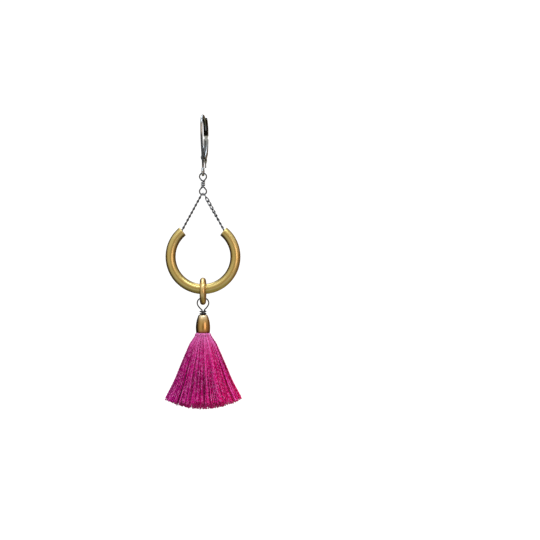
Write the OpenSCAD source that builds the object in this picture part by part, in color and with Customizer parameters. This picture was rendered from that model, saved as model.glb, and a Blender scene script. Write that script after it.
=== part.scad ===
// Duster earring, one of a pair: a leverback ear wire, a wire wrapped link, a fine chain that runs
// through an open brass hoop, a brass ring, and a silk tassel in a brass cap.
// Millimetres, +Z up, the wearer at +Y. The origin is the middle of the wire at the top of its arch,
// where the earring hangs from the ear.

/* [Ear wire] */
// Thickness of the ear wire
ear_wire_d = 0.68; // [0.6:0.02:0.7]
// How far the front of the ear wire bulges forward of its ring
front_bulge = 2.8; // [2.5:0.1:3.2]
// Radius of the back half of the arch
back_arch_r = 4.9; // [4.6:0.1:5.2]
// Angle of the back half of the arch, from its top down to the tip of the wire
back_arch_angle = 78; // [70:1:82]
// Depth of the small ring's middle below the top of the arch
ear_ring_drop = 16.95; // [16.6:0.05:17.4]
// Radius of the small ring, to the middle of its wire
ear_ring_r = 0.92; // [0.92:0.01:1]
// Turn of the ear wire and its lever about the vertical
hook_turn = 7.5; // [0:0.5:15]

/* [Lever] */
// Width of the folded lever
lever_w = 1.44; // [1.4:0.02:1.6]
// Thickness of the lever's sheet
lever_t = 0.25; // [0.2:0.01:0.28]
// Angle of the back of the arch that the lever's trough covers
trough_angle = 43; // [38:1:50]
// Radius of the lever's bowed blade
blade_r = 22; // [20:1:26]
// Drop of the lever's bowed blade below the trough
blade_drop = 5.4; // [5.2:0.1:5.6]
// Distance of the lever's pivot behind the small ring
pivot_back = 1.1; // [1:0.05:1.3]
// Depth of the lever's pivot below the top of the arch
pivot_drop = 12.4; // [12.2:0.05:12.6]
// Radius of the rivet that the lever turns on
rivet_r = 0.28; // [0.24:0.01:0.3]

/* [Wrapped link] */
// Thickness of the dark wire, in the link and in the cap's eye
dark_wire_d = 0.4; // [0.34:0.01:0.42]
// Radius of the link's two loops, to the middle of the wire
loop_r = 1.04; // [1:0.01:1.1]
// Length of the link, between the middles of the wire at its two ends
link_length = 6.56; // [6.4:0.02:6.8]
// Radius of the link's wraps, to the middle of the wire
wrap_r = 0.475; // [0.46:0.005:0.52]
// Rise of one turn of the link's wraps
wrap_pitch = 0.5; // [0.46:0.01:0.54]

/* [Chain] */
// Thickness of the chain's wire
chain_wire_d = 0.29; // [0.26:0.01:0.3]
// Half the width of a chain link, to the middle of its wire
chain_link_r = 0.43; // [0.42:0.01:0.45]
// Half the width of each end link, which holds the wrapped link's loop
end_link_r = 0.48; // [0.46:0.01:0.5]
// Play between a link and the next
chain_play = 0.16; // [0.155:0.005:0.18]
// Number of links on each side of the earring
half_links = 28; // [27:1:29]
// Place of each end link, to the side of the loop's lowest point
strand_start = 0.44; // [0.43:0.01:0.48]

/* [Hoop] */
// Depth of the hoop's middle below the top of the arch
hoop_drop = 42.3; // [42:0.1:43]
// Radius of the hoop, to the middle of its tube
hoop_r = 9.72; // [9.5:0.02:10]
// Thickness of the hoop's tube
tube_d = 3.06; // [3:0.02:3.2]
// Radius of the bore that the chain runs through
bore_r = 1.13; // [1.1:0.01:1.18]
// Half the angle of the gap at the hoop's top
gap_half_angle = 38.7; // [36:0.1:41]

/* [Ring] */
// Thickness of the ring's wire
ring_wire_d = 1.8; // [1.7:0.02:1.86]
// Radius of the ring, to the middle of its wire
ring_r = 3.2; // [3.16:0.02:3.3]
// Clearance between pieces that hang in each other
hang_gap = 0.1; // [0.08:0.01:0.12]

/* [Cap] */
// Depth of the cap's top below the ring's lowest wire
cap_below_ring = 3.75; // [3.7:0.05:4]
// Height of the cap
cap_h = 5.5; // [5.2:0.1:5.8]
// Largest radius of the cap
cap_r = 2.16; // [2.1:0.02:2.2]
// Radius of the curve down the cap's side
cap_side_r = 9.5; // [9:0.1:10.5]
// Thickness of the cap's wall
cap_t = 0.3; // [0.25:0.01:0.32]
// Radius of the wraps above the cap, to the middle of the wire
eye_wrap_r = 0.86; // [0.8:0.01:0.9]

/* [Tassel] */
// Length of the threads below the cap
thread_length = 23.1; // [20:0.1:26]
// Radius of the tassel at its lower edge
tassel_r = 11.9; // [10:0.1:12.5]
// Number of locks around the outside
outer_locks = 32; // [24:1:36]

/* [Hidden] */
$fn = 48;

silver = [0.8, 0.8, 0.82];
dark_silver = [0.2, 0.2, 0.21];
brass = [0.69, 0.55, 0.27];
warm_brass = [0.72, 0.52, 0.28];
magenta = [0.71, 0.07, 0.42];

// Ear wire: its front is an S of two arcs, from the arch down to the top of the small ring
front_top_r = 21.5;
front_drop = ear_ring_drop - ear_ring_r - front_bulge;
front_angle = 2 * atan(front_bulge / front_drop);
front_low_r = front_drop / sin(front_angle) - front_top_r;
bead_r = 0.53 * ear_wire_d;
bead_slot = 0.06;
lug_w = 0.7;
lug_r = 0.62;
lug_h = 1;

// Lever: sheet folded into a channel, whose back line is three arcs
trough_play = 0.11;
lever_out_r = back_arch_r + ear_wire_d / 2 + trough_play + lever_t;
trough_top = 90 - back_arch_angle + trough_angle;
blade_middle = [lever_out_r - blade_r, -back_arch_r];
blade_angle = asin(blade_drop / blade_r);
blade_foot = blade_middle + blade_r * [cos(blade_angle), -sin(blade_angle)];
tail_r = 12;
tail_middle = blade_foot + tail_r * [cos(blade_angle), -sin(blade_angle)];
tail_flick = 10;
cheek_depth = 0.75;
cheek_end = 0.72;
trough_below = 0.8;
pocket_past_trough = 8;
eye_inset = 0.97;
tail_half_widths = [[0.8, -0.7], [0.42, -2.3], [0.5, -3.1], [0.2, -3.9], [0.2, -7], [1.4, -7], [1.4, -0.7]];
tail_depth = 2.6;
waist_w = 1;
waist_h = 0.8;
pivot = [pivot_back, -pivot_drop];
pivot_play = 0.04;
pivot_eye_r = 0.72;
head_r = 0.48;
head_t = 0.15;

// Wrapped link: it hangs in the small ring, and its lower loop carries the chain
link_top = -ear_ring_drop - ear_ring_r + ear_wire_d / 2 + dark_wire_d / 2 + hang_gap;
link_foot = link_top - link_length;
loop_drop = link_length / 2 - loop_r;
wrap_foot = -1.2;
first_rise = 0.55;
wrap_turns = 1.5;
wire_sides = 6;

// Chain: a circle that hugs the bore's inner wall, then a straight strand that leaves it at a tangent
chain_path_r = hoop_r - bore_r + chain_link_r + chain_wire_d / 2 + 0.12;
strand_top = [strand_start, link_foot + loop_r - sqrt(pow(loop_r, 2) - pow(strand_start, 2))];
strand_reach = norm(strand_top - [0, -hoop_drop]);
strand_angle = acos(chain_path_r / strand_reach) + atan(strand_start / (strand_top[1] + hoop_drop));
strand_foot = [chain_path_r * sin(strand_angle), chain_path_r * cos(strand_angle) - hoop_drop];
chain_arc = chain_path_r * (180 - strand_angle) * PI / 180;
strand_length = norm(strand_top - strand_foot);
end_hold = dark_wire_d / 2 + chain_wire_d / 2 + chain_play;
chain_pitch = (chain_arc + strand_length + end_hold - (chain_wire_d + chain_play) / 2) / half_links;
link_half_length = (chain_pitch + chain_wire_d + chain_play) / 2;
// The end links stand edge on, and the next four turn step by step to the curb chain's slant
first_turns = 4;
turn_step = 78.75;
link_corners = 4;
link_sides = 5;

// Ring, eye and cap
ring_middle = -hoop_drop - hoop_r + tube_d / 2 + hang_gap - ring_r + ring_wire_d / 2;
ring_foot = ring_middle - ring_r;
eye_top = ring_wire_d / 2 + dark_wire_d / 2 + hang_gap;
cap_top = ring_foot - cap_below_ring;
cap_foot = cap_top - cap_h;
cap_widest = 4;
cap_corner_r = 0.45;
cap_hole_r = 0.6;
leg_x = 0.3;
leg_bend = cap_top - 0.9;
eye_wrap_turns = 1.625;
eye_wrap_pitch = 0.55;

// Tassel: its radius at each quarter of the threads' length, as a share of the lower edge's radius
flare = [0.11, 0.37, 0.575, 0.77, 1];
neck_r = 1.38;
rim_gap = 0.05;
collar_r = 1.85;
collar_drop = 0.35;
groove = 0.1;
ragged = 0.02;
least_drop = 0.3;
end_bulge = 0.15;
head_top = leg_bend - leg_x - dark_wire_d / 2 - 0.15;
lock_columns = 4;
columns = lock_columns * outer_locks;

function unit(v) = v / norm(v);

function reversed(list) = [for (i = [len(list) - 1 : -1 : 0]) list[i]];

function on_circle(middle, r, a) = middle + r * [cos(a), sin(a)];

function arc(middle, r, from, to, steps) =
    [for (i = [0 : steps]) on_circle(middle, r, from + (to - from) * i / steps)];

// A smooth curve through every point of a list, with the given number of steps between points
function blend(a, b, c, d, t) =
    b + 0.5 * t * ((c - a) + t * ((2 * a - 5 * b + 4 * c - d) + t * (3 * b - a - 3 * c + d)));

function smooth(points, steps) = let (last = len(points) - 1) concat(
    [for (i = [0 : last - 1], j = [0 : steps - 1])
        blend(points[max(i - 1, 0)], points[i], points[i + 1], points[min(i + 2, last)], j / steps)],
    [points[last]]);

function heading(path, i) = unit(path[min(i + 1, len(path) - 1)] - path[max(i - 1, 0)]);

// One sideways direction for each point of a path, carried along it without twist
function sideways(path) = [
    for (i = 0, s = unit(cross(heading(path, 0), [0.3, 1, 0.2])); i < len(path);
        i = i + 1, t = heading(path, min(i, len(path) - 1)), s = unit(s - (s * t) * t)) s];

function section(p, t, s, r) = [
    for (k = [0 : wire_sides - 1]) let (a = 360 * k / wire_sides)
        p + r * (cos(a) * s + sin(a) * cross(t, s))];

// A round wire of thickness d along a path
module wire(path, d) {
    last = len(path) - 1;
    side = sideways(path);
    n = wire_sides;
    points = [for (i = [0 : last]) each section(path[i], heading(path, i), side[i], d / 2)];
    walls = [for (i = [0 : last - 1], k = [0 : n - 1]) let (m = (k + 1) % n)
        [i * n + k, (i + 1) * n + k, (i + 1) * n + m, i * n + m]];
    ends = [[for (k = [0 : n - 1]) k], [for (k = [n - 1 : -1 : 0]) last * n + k]];
    polyhedron(points = points, faces = concat(walls, ends), convexity = 10);
}

// Stands a side view, drawn with the wearer to the right, in the YZ plane
module in_side_view() {
    rotate([90, 0, 90]) children();
}

// Stands a front view in the XZ plane
module in_front_view() {
    rotate([90, 0, 0]) children();
}

// An arc of the ear wire, which stops just inside the bead that joins it to the next
module side_arc(middle, r, from, to) {
    trim = bead_slot / 2 / r * 180 / PI;
    in_side_view() translate(middle) rotate(from + trim)
        rotate_extrude(angle = to - from - 2 * trim, $fn = 96) translate([r, 0]) circle(d = ear_wire_d);
}

module side_sheet(w) {
    in_side_view() translate([0, 0, -w / 2]) linear_extrude(w) children();
}

module ear_hook() {
    front_low = [-front_low_r, ear_ring_r - ear_ring_drop];
    joins = [[0, 0], [-front_bulge, -front_bulge], on_circle(front_low, front_low_r, front_angle)];
    color(silver) rotate(-hook_turn) difference() {
        union() {
            side_arc([0, -back_arch_r], back_arch_r, 90 - back_arch_angle, 90);
            side_arc([0, -front_bulge], front_bulge, 90, 180);
            side_arc([front_top_r - front_bulge, -front_bulge], front_top_r, 180, 180 + front_angle);
            side_arc(front_low, front_low_r, 0, front_angle);
            for (join = joins) in_side_view() translate(join) sphere(r = bead_r);
            in_side_view() translate([0, -ear_ring_drop])
                rotate_extrude($fn = 96) translate([ear_ring_r, 0]) circle(d = ear_wire_d);
            lug();
        }
        side_sheet(2 * lug_w) translate(pivot) circle(r = rivet_r + 0.01);
    }
}

// The lug reaches from the middle of the front wire back to the lever's pivot
module lug() {
    rise = ear_ring_drop - ear_ring_r - pivot_drop;
    wire_y = sqrt(pow(front_low_r, 2) - pow(rise, 2)) - front_low_r;
    side_sheet(lug_w) translate(pivot) circle(r = lug_r);
    side_sheet(lug_w) translate([wire_y, pivot[1] - lug_h / 2]) square([pivot[0] - wire_y, lug_h]);
}

module lever_rivet() {
    half = lever_w / 2 + 0.03;
    end = half + head_t;
    outline = [[0, -end], [head_r, -end], [head_r, -half], [rivet_r, -half],
        [rivet_r, half], [head_r, half], [head_r, end], [0, end]];
    color(silver) rotate(-hook_turn) in_side_view() translate(pivot) rotate_extrude() polygon(outline);
}

// The channel's back line moved in by a distance, from the trough's upper end down to the blade's foot
function channel_line(inset, top) = concat(
    arc([0, -back_arch_r], lever_out_r - inset, top, 0, 10),
    arc(blade_middle, blade_r - inset, -blade_angle / 6, -blade_angle, 5));

function tail_line(inset) = arc(tail_middle, tail_r + inset, 180 - blade_angle - 4, 180 + tail_flick, 6);

// The cheeks beside the wire's tip reach in to the middle of the wire
module trough_outline() {
    foot = -back_arch_r - trough_below;
    outer = lever_out_r - lever_t / 2;
    polygon(concat(
        arc([0, -back_arch_r], outer, trough_top, 0, 10),
        [[outer, foot], [back_arch_r, foot]],
        arc([0, -back_arch_r], back_arch_r, 0, trough_top, 10)));
}

// The cheeks of the blade run down and forward to the eyes on the rivet
module blade_outline() {
    lean = atan2(blade_foot[1] - pivot[1], blade_foot[0] - pivot[0]);
    polygon(concat(
        arc(blade_middle, blade_r - lever_t / 2, -blade_angle / 3, -blade_angle, 6),
        [for (turn = [-90, 90]) on_circle(pivot, eye_inset * pivot_eye_r, lean + turn)],
        arc(blade_middle, blade_r - cheek_depth, -cheek_end * blade_angle, -blade_angle / 3, 3)));
}

module floor_outline() {
    polygon(concat(channel_line(0, trough_top), tail_line(0), reversed(tail_line(lever_t)),
        reversed(channel_line(lever_t, trough_top))));
}

// Everything between the cheeks and in front of the channel's floor
module pocket_outline() {
    polygon(concat(
        channel_line(lever_t, trough_top + pocket_past_trough),
        [blade_foot - [0.7, 1.2], [-2, blade_foot[1] - 5], [-2, 1]]));
}

// The tail narrows to a thumb pad, and then to its tip
module beside_tail() {
    translate([0, blade_foot[0] + tail_depth - 1, blade_foot[1]])
        in_front_view() linear_extrude(tail_depth) polygon(tail_half_widths);
}

module lever() {
    waist_z = -back_arch_r - blade_drop * 0.25;
    color(silver) rotate(-hook_turn) difference() {
        union() {
            side_sheet(lever_w) floor_outline();
            side_sheet(lever_w) trough_outline();
            side_sheet(lever_w) blade_outline();
            side_sheet(lever_w) translate(pivot) circle(r = pivot_eye_r);
        }
        side_sheet(lever_w - 2 * lever_t) pocket_outline();
        side_sheet(2 * lever_w) translate(pivot) circle(r = rivet_r + pivot_play);
        for (side = [0, 1]) mirror([side, 0, 0]) {
            translate([waist_w / 2, lever_out_r - 1, waist_z - waist_h / 2]) cube([1, 2, waist_h]);
            beside_tail();
        }
    }
}

function wrap_point(r, turns, z) = [r * cos(360 * turns), -r * sin(360 * turns), z];

// Half of the link, from its middle down the core, round the loop, and up the wraps
function half_link_path() = concat(
    [[0, 0, -0.3], [0, 0, -0.6], [-0.05, 0, -0.84], [-0.3, 0, -1.07]],
    [for (p = arc([0, -loop_drop], loop_r, 135, 405, 12)) [p[0], 0, p[1]]],
    [[0.57, -0.05, -1.34]],
    [for (i = [1 : 20]) let (turns = wrap_turns * i / 20)
        wrap_point(wrap_r, turns, wrap_foot + 2 * first_rise * min(turns, 0.5)
            + wrap_pitch * max(turns - 0.5, 0))]);

module wrapped_link() {
    lower = half_link_path();
    upper = [for (p = reversed(lower)) [-p[0], p[1], -p[2]]];
    color(dark_silver) translate([0, 0, link_top - link_length / 2]) wire(concat(upper, lower), dark_wire_d);
}

// The chain's path on the right, by the distance from its lowest point
function chain_point(s) = let (a = s / chain_path_r * 180 / PI)
    s < chain_arc ? [chain_path_r * sin(a), -hoop_drop - chain_path_r * cos(a)]
    : strand_foot + (s - chain_arc) * unit(strand_top - strand_foot);

function link_turn(from_end) =
    90 + turn_step * min(from_end, first_turns) + 90 * max(from_end - first_turns, 0);

// One link's outline, with x along the chain
function link_outline(r) = let (straight = link_half_length - r, step = 180 / link_corners)
    [for (end = [0, 1], i = [0 : link_corners]) let (a = 180 * end - 90 + step * i)
        [straight * (1 - 2 * end) + r * cos(a), r * sin(a), a]];

function link_points(index, side) = let (
    s = (index + 0.5) * chain_pitch,
    turn = link_turn(half_links - 1 - index),
    place = chain_point(s),
    step = unit(chain_point(s + chain_pitch / 3) - chain_point(abs(s - chain_pitch / 3))),
    middle = [side * place[0], 0, place[1]],
    ahead = [side * step[0], 0, step[1]],
    across = cos(turn) * [-step[1], 0, side * step[0]] + sin(turn) * [0, 1, 0],
    normal = cross(ahead, across),
    r = index == half_links - 1 ? end_link_r : chain_link_r)
    [for (p = link_outline(r), k = [0 : link_sides - 1]) let (a = 360 * k / link_sides)
        middle + p[0] * ahead + p[1] * across + chain_wire_d / 2
            * (cos(a) * (cos(p[2]) * ahead + sin(p[2]) * across) + sin(a) * normal)];

module chain() {
    n = link_sides;
    rings = 2 * (link_corners + 1);
    points = [for (side = [-1, 1], i = [0 : half_links - 1]) each link_points(i, side)];
    faces = [for (link = [0 : 2 * half_links - 1], i = [0 : rings - 1], k = [0 : n - 1])
        let (base = link * rings * n, j = (i + 1) % rings, m = (k + 1) % n)
        [base + i * n + k, base + i * n + m, base + j * n + m, base + j * n + k]];
    color(dark_silver) polyhedron(points = points, faces = faces, convexity = 10);
}

module curved_tube() {
    color(brass) translate([0, 0, -hoop_drop]) in_front_view() rotate(90 + gap_half_angle)
        rotate_extrude(angle = 360 - 2 * gap_half_angle, $fn = 144) translate([hoop_r, 0]) difference() {
            circle(d = tube_d);
            circle(r = bore_r);
        }
}

module jump_ring() {
    color(warm_brass) in_side_view() translate([0, ring_middle])
        rotate_extrude($fn = 96) translate([ring_r, 0]) circle(d = ring_wire_d);
}

// One side of the eye, from its top round to where it narrows, measured from the ring's wire
eye_side = [[0, eye_top], [0.62, 1.13], [1.2, 0.84], [1.55, 0.42], [1.71, -0.15], [1.66, -0.72],
    [1.36, -1.3], [0.96, -1.8]];

module cap_wire() {
    left = [for (p = reversed(smooth(eye_side, 2))) [-p[0], 0, ring_foot + p[1]]];
    right = [for (i = [1 : len(left) - 1]) let (p = left[len(left) - 1 - i]) [-p[0], 0, p[2]]];
    bend = [for (p = arc([0, leg_bend], leg_x, 0, -180, 6)) [p[0], 0, p[1]]];
    wraps = [for (i = [1 : 16 * eye_wrap_turns]) let (turns = i / 16)
        wrap_point(eye_wrap_r, turns, cap_top + 0.25 + eye_wrap_pitch * (eye_wrap_turns - turns))];
    color(dark_silver) wire(concat(
        [[leg_x, 0, cap_top + 0.75]], bend,
        [[-leg_x, 0, cap_top + 1.15], [-leg_x - 0.14, 0, ring_foot - 2.3]],
        left, right,
        [[0.8, 0, ring_foot - 2.2], [0.85, -0.04, ring_foot - 2.5]], wraps), dark_wire_d);
}

function cap_side_at(depth) = cap_r - cap_side_r + sqrt(pow(cap_side_r, 2) - pow(cap_widest - depth, 2));

function cap_side(inset, from_depth) = arc([cap_r - cap_side_r, -cap_widest], cap_side_r - inset,
    asin((cap_widest - from_depth) / cap_side_r), -asin((cap_h - cap_widest) / cap_side_r), 14);

module tassel_cap() {
    corner = [cap_side_at(cap_corner_r) - cap_corner_r, -cap_corner_r];
    color(brass) translate([0, 0, cap_top]) rotate_extrude($fn = 96) polygon(concat(
        [[cap_hole_r, 0]],
        arc(corner, cap_corner_r, 90, 22, 5),
        cap_side(0, cap_corner_r),
        reversed(cap_side(cap_t, cap_corner_r + cap_t)),
        [[cap_hole_r, -cap_t]]));
}

// A closed ring of the tassel's surface. Each lock bulges between two grooves, and has its own length
function tassel_ring(r, z, grooved, uneven) = [for (i = [0 : columns - 1]) let (
    a = 360 * i / columns,
    cut = 1 - grooved * (1 - abs(sin(180 * i / lock_columns))),
    reach = 1 - uneven * abs(sin(77.7 * floor(i / lock_columns + 0.5))))
    [r * cut * reach * cos(a), r * cut * reach * sin(a), z * reach]];

// The threads' ends lie on a sphere around the middle of the cap's mouth
function tassel_drop(r, reach) = -sqrt(max(pow(reach, 2) - pow(r, 2), pow(least_drop * reach, 2)));

module tassel() {
    radii = smooth(flare, 2) * tassel_r;
    steps = len(radii) - 1;
    head = head_top - cap_foot;
    neck = [tassel_ring(0.85 * neck_r, head, 0, 0), tassel_ring(neck_r, head - 0.2, 0, 0),
        tassel_ring(neck_r, -rim_gap, 0, 0), tassel_ring(collar_r, -collar_drop, 0, 0)];
    outside = [for (i = [1 : steps]) let (share = i / steps)
        tassel_ring(radii[i], tassel_drop(radii[i], thread_length * share), groove * share,
            ragged * pow(share, 4))];
    underside = [for (share = [0.8, 0.6, 0.4, 0.2]) let (r = tassel_r * share)
        tassel_ring(r, tassel_drop(r, thread_length) + end_bulge, groove, ragged)];
    rings = concat(neck, outside, underside);
    last = len(rings) - 1;
    points = concat([[0, 0, head]], [for (ring = rings) each ring], [[0, 0, end_bulge - thread_length]]);
    walls = [for (i = [0 : last - 1], k = [0 : columns - 1])
        let (m = (k + 1) % columns, at = 1 + i * columns)
        each [[at + k, at + m, at + columns + m], [at + k, at + columns + m, at + columns + k]]];
    ends = [for (k = [0 : columns - 1]) let (m = (k + 1) % columns, at = 1 + last * columns)
        each [[0, 1 + m, 1 + k], [len(points) - 1, at + k, at + m]]];
    color(magenta) translate([0, 0, cap_foot])
        polyhedron(points = points, faces = concat(walls, ends), convexity = 10);
}

ear_hook();
lever_rivet();
lever();
wrapped_link();
chain();
curved_tube();
jump_ring();
cap_wire();
tassel_cap();
tassel();
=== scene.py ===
"""Duster earring: the finish and the fine shapes around its packed metal and thread frame."""

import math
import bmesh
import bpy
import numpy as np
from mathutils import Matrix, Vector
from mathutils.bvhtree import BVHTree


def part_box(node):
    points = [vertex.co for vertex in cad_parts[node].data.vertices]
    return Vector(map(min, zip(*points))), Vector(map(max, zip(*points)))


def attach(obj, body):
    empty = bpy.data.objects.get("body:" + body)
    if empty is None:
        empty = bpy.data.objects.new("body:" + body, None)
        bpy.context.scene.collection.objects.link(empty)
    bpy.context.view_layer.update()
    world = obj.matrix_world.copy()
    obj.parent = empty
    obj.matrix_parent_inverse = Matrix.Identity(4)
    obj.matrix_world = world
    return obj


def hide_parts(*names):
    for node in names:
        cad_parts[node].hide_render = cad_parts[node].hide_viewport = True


bl_info = {
    "name": "Duster Earring Looks",
    "version": (1, 0, 0),
    "blender": (4, 5, 0),
    "location": "View3D > Sidebar > Earring",
    "description": "Silver leverback, dark wires, brass hoop and silk tassel around a packed earring",
    "category": "Object",
}

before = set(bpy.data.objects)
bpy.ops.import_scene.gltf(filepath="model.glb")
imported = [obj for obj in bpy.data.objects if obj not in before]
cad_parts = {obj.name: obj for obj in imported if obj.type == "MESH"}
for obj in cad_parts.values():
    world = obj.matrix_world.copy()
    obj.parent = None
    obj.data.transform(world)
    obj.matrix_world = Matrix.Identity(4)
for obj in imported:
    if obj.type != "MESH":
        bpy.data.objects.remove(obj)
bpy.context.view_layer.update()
MM = 0.001
GOLDEN_ANGLE = 2.399963


# Points and curves, in millimetres

def node_box(name):
    """A CAD node's lowest and highest corner."""
    low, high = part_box(name)
    return np.array(low) / MM, np.array(high) / MM


def around(count):
    """Angles of points spaced evenly round a circle."""
    return np.arange(count) * 2 * math.pi / count


def on_circle(middle, radius, angle):
    angle = math.radians(angle)
    return (middle[0] + radius * math.cos(angle), middle[1] + radius * math.sin(angle))


def arc(middle, radius, start, end, steps):
    return [on_circle(middle, radius, start + (end - start) * i / steps) for i in range(steps + 1)]


def side_view(points):
    """Stands points of a side view, drawn with the wearer to the right, in the YZ plane."""
    return [(0, y, z) for y, z in points]


def front_view(points):
    return [(x, 0, z) for x, z in points]


def smooth(points, per_span):
    """A smooth curve through every point."""
    p = np.array(points, float)
    p = np.vstack([p[:1], p, p[-1:]])
    t = np.linspace(0, 1, per_span, endpoint=False)[:, None]
    spans = []
    for a, b, c, d in zip(p[:-3], p[1:-2], p[2:-1], p[3:]):
        bend = (2 * a - 5 * b + 4 * c - d) + t * (3 * b - a - 3 * c + d)
        spans.append(b + 0.5 * t * ((c - a) + t * bend))
    return np.vstack([*spans, p[-2:-1]])


def even(path, step):
    """The same path with points an equal distance apart."""
    path = np.array(path, float)
    run = np.concatenate([[0], np.cumsum(np.linalg.norm(np.diff(path, axis=0), axis=1))])
    marks = np.linspace(0, run[-1], max(2, round(run[-1] / step) + 1))
    return np.column_stack([np.interp(marks, run, path[:, k]) for k in range(3)])


def unit(v):
    return v / np.linalg.norm(v, axis=-1, keepdims=True)


# A direction that no path starts along
NEVER_ALONG = (0.31, 0.93, 0.2)


def directions_across(path, closed=False):
    """Two directions across a path, square to each other, that are carried along it without twist."""
    if closed:
        tangents = unit(np.roll(path, -1, axis=0) - np.roll(path, 1, axis=0))
    else:
        tangents = unit(np.gradient(path, axis=0))
    side = unit(np.cross(tangents[0], NEVER_ALONG))
    sides = []
    for t in tangents:
        side = unit(side - np.dot(side, t) * t)
        sides.append(side)
    sides = np.array(sides)
    if closed:
        first, last = sides[0], unit(sides[-1] - np.dot(sides[-1], tangents[0]) * tangents[0])
        slip = math.atan2(np.dot(np.cross(last, first), tangents[0]), np.dot(last, first))
        turn = slip * np.arange(len(path))[:, None] / len(path)
        sides = sides * np.cos(turn) + np.cross(tangents, sides) * np.sin(turn)
    return sides, np.cross(tangents, sides)


def rounded_tip(path, radius, steps):
    """Radii and extra points that close a wire's last point with a half ball."""
    ahead = unit(path[-1] - path[-2])
    turn = np.linspace(0, math.pi / 2, steps + 1)[1:]
    tip = path[-1] + np.outer(np.sin(turn) * radius, ahead)
    radii = np.concatenate([np.full(len(path), radius), np.maximum(np.cos(turn), 0.02) * radius])
    return np.vstack([path, tip]), radii


def ramp(value, start, width):
    """From 0 at the start to 1 a width further on. A width below zero runs the other way."""
    return np.clip((value - start) / width, 0, 1)


def bell(value, middle, width):
    return np.exp(-((value - middle) / width) ** 2)


# Meshes

def points_of(mesh):
    """A mesh's points, in millimetres."""
    return np.array([v.co for v in mesh.vertices]) / MM


def stored(mesh, name):
    return np.array([v.value for v in mesh.attributes[name].data])


def store(mesh, name, values):
    """Keeps one value for each point of a mesh, for its material to read."""
    layer = mesh.attributes.get(name) or mesh.attributes.new(name, "FLOAT", "POINT")
    layer.data.foreach_set("value", np.asarray(values, np.float32))


class Shell:
    """Gathers rings of points into one mesh, with values that the materials read."""

    def __init__(self):
        self.points, self.faces, self.values = [], [], {}
        self.count = 0

    def add(self, points, faces, **values):
        """Adds points and faces. Each call on a shell gives the same names of values."""
        self.points.append(points)
        self.faces.append(np.asarray(faces) + self.count)
        for name, column in values.items():
            self.values.setdefault(name, []).append(column)
        self.count += len(points)

    def grid(self, rings, closed=False, **values):
        """Joins rings of equal size, an array of ring, point and coordinate. Open ends get a fan."""
        n, k, _ = rings.shape
        ring, spot = np.meshgrid(np.arange(n if closed else n - 1), np.arange(k), indexing="ij")
        after, beside = (ring + 1) % n, (spot + 1) % k
        corners = [ring * k + spot, ring * k + beside, after * k + beside, after * k + spot]
        faces = np.stack(corners, -1).reshape(-1, 4)
        points = rings.reshape(-1, 3)
        values = {name: np.broadcast_to(v, (n, k)).ravel() for name, v in values.items()}
        if not closed:
            points = np.vstack([points, rings[0].mean(0), rings[-1].mean(0)])
            values = {name: np.append(v, [v[0], v[-1]]) for name, v in values.items()}
            here, beside = np.arange(k), (np.arange(k) + 1) % k
            hub, last = np.full(k, n * k), (n - 1) * k
            first_fan = np.stack([hub, beside, here, hub], -1)
            last_fan = np.stack([hub + 1, last + here, last + beside, hub + 1], -1)
            faces = np.vstack([faces, first_fan, last_fan])
        self.add(points, faces, **values)

    def wire(self, path, radius, sides, closed=False, **values):
        """A round wire along a path, with one radius or one for each point."""
        path = np.asarray(path, float)
        across, up = directions_across(path, closed)
        radius = np.broadcast_to(radius, len(path))[:, None, None]
        a = around(sides)[:, None]
        rings = path[:, None] + radius * (np.cos(a) * across[:, None] + np.sin(a) * up[:, None])
        self.grid(rings, closed, **{name: v[:, None] for name, v in values.items()})

    def mesh(self, name):
        """The gathered mesh. A face whose last corner is its first is a triangle."""
        faces = np.vstack(self.faces)
        fan = faces[:, 0] == faces[:, 3]
        points = np.vstack(self.points) * MM
        mesh = bpy.data.meshes.new(name)
        mesh.from_pydata(points.tolist(), [], faces[~fan].tolist() + faces[fan, :3].tolist())
        for value, columns in self.values.items():
            store(mesh, value, np.concatenate(columns))
        mesh.validate()
        mesh.shade_smooth()
        return mesh


def piece(mesh, material, body, stands_for):
    """A finished piece that rides on a body and stands for a CAD node. It is named after its mesh."""
    obj = bpy.data.objects.new(mesh.name, mesh)
    bpy.context.scene.collection.objects.link(obj)
    mesh.materials.append(material)
    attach(obj, body)
    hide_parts(stands_for)
    return obj


def keep_crisp(obj):
    """Keeps flat faces flat beside rounded edges."""
    obj.data.set_sharp_from_angle(angle=math.radians(40))
    obj.modifiers.new("even_shading", "WEIGHTED_NORMAL").keep_sharp = True


# Shader helpers

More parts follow.
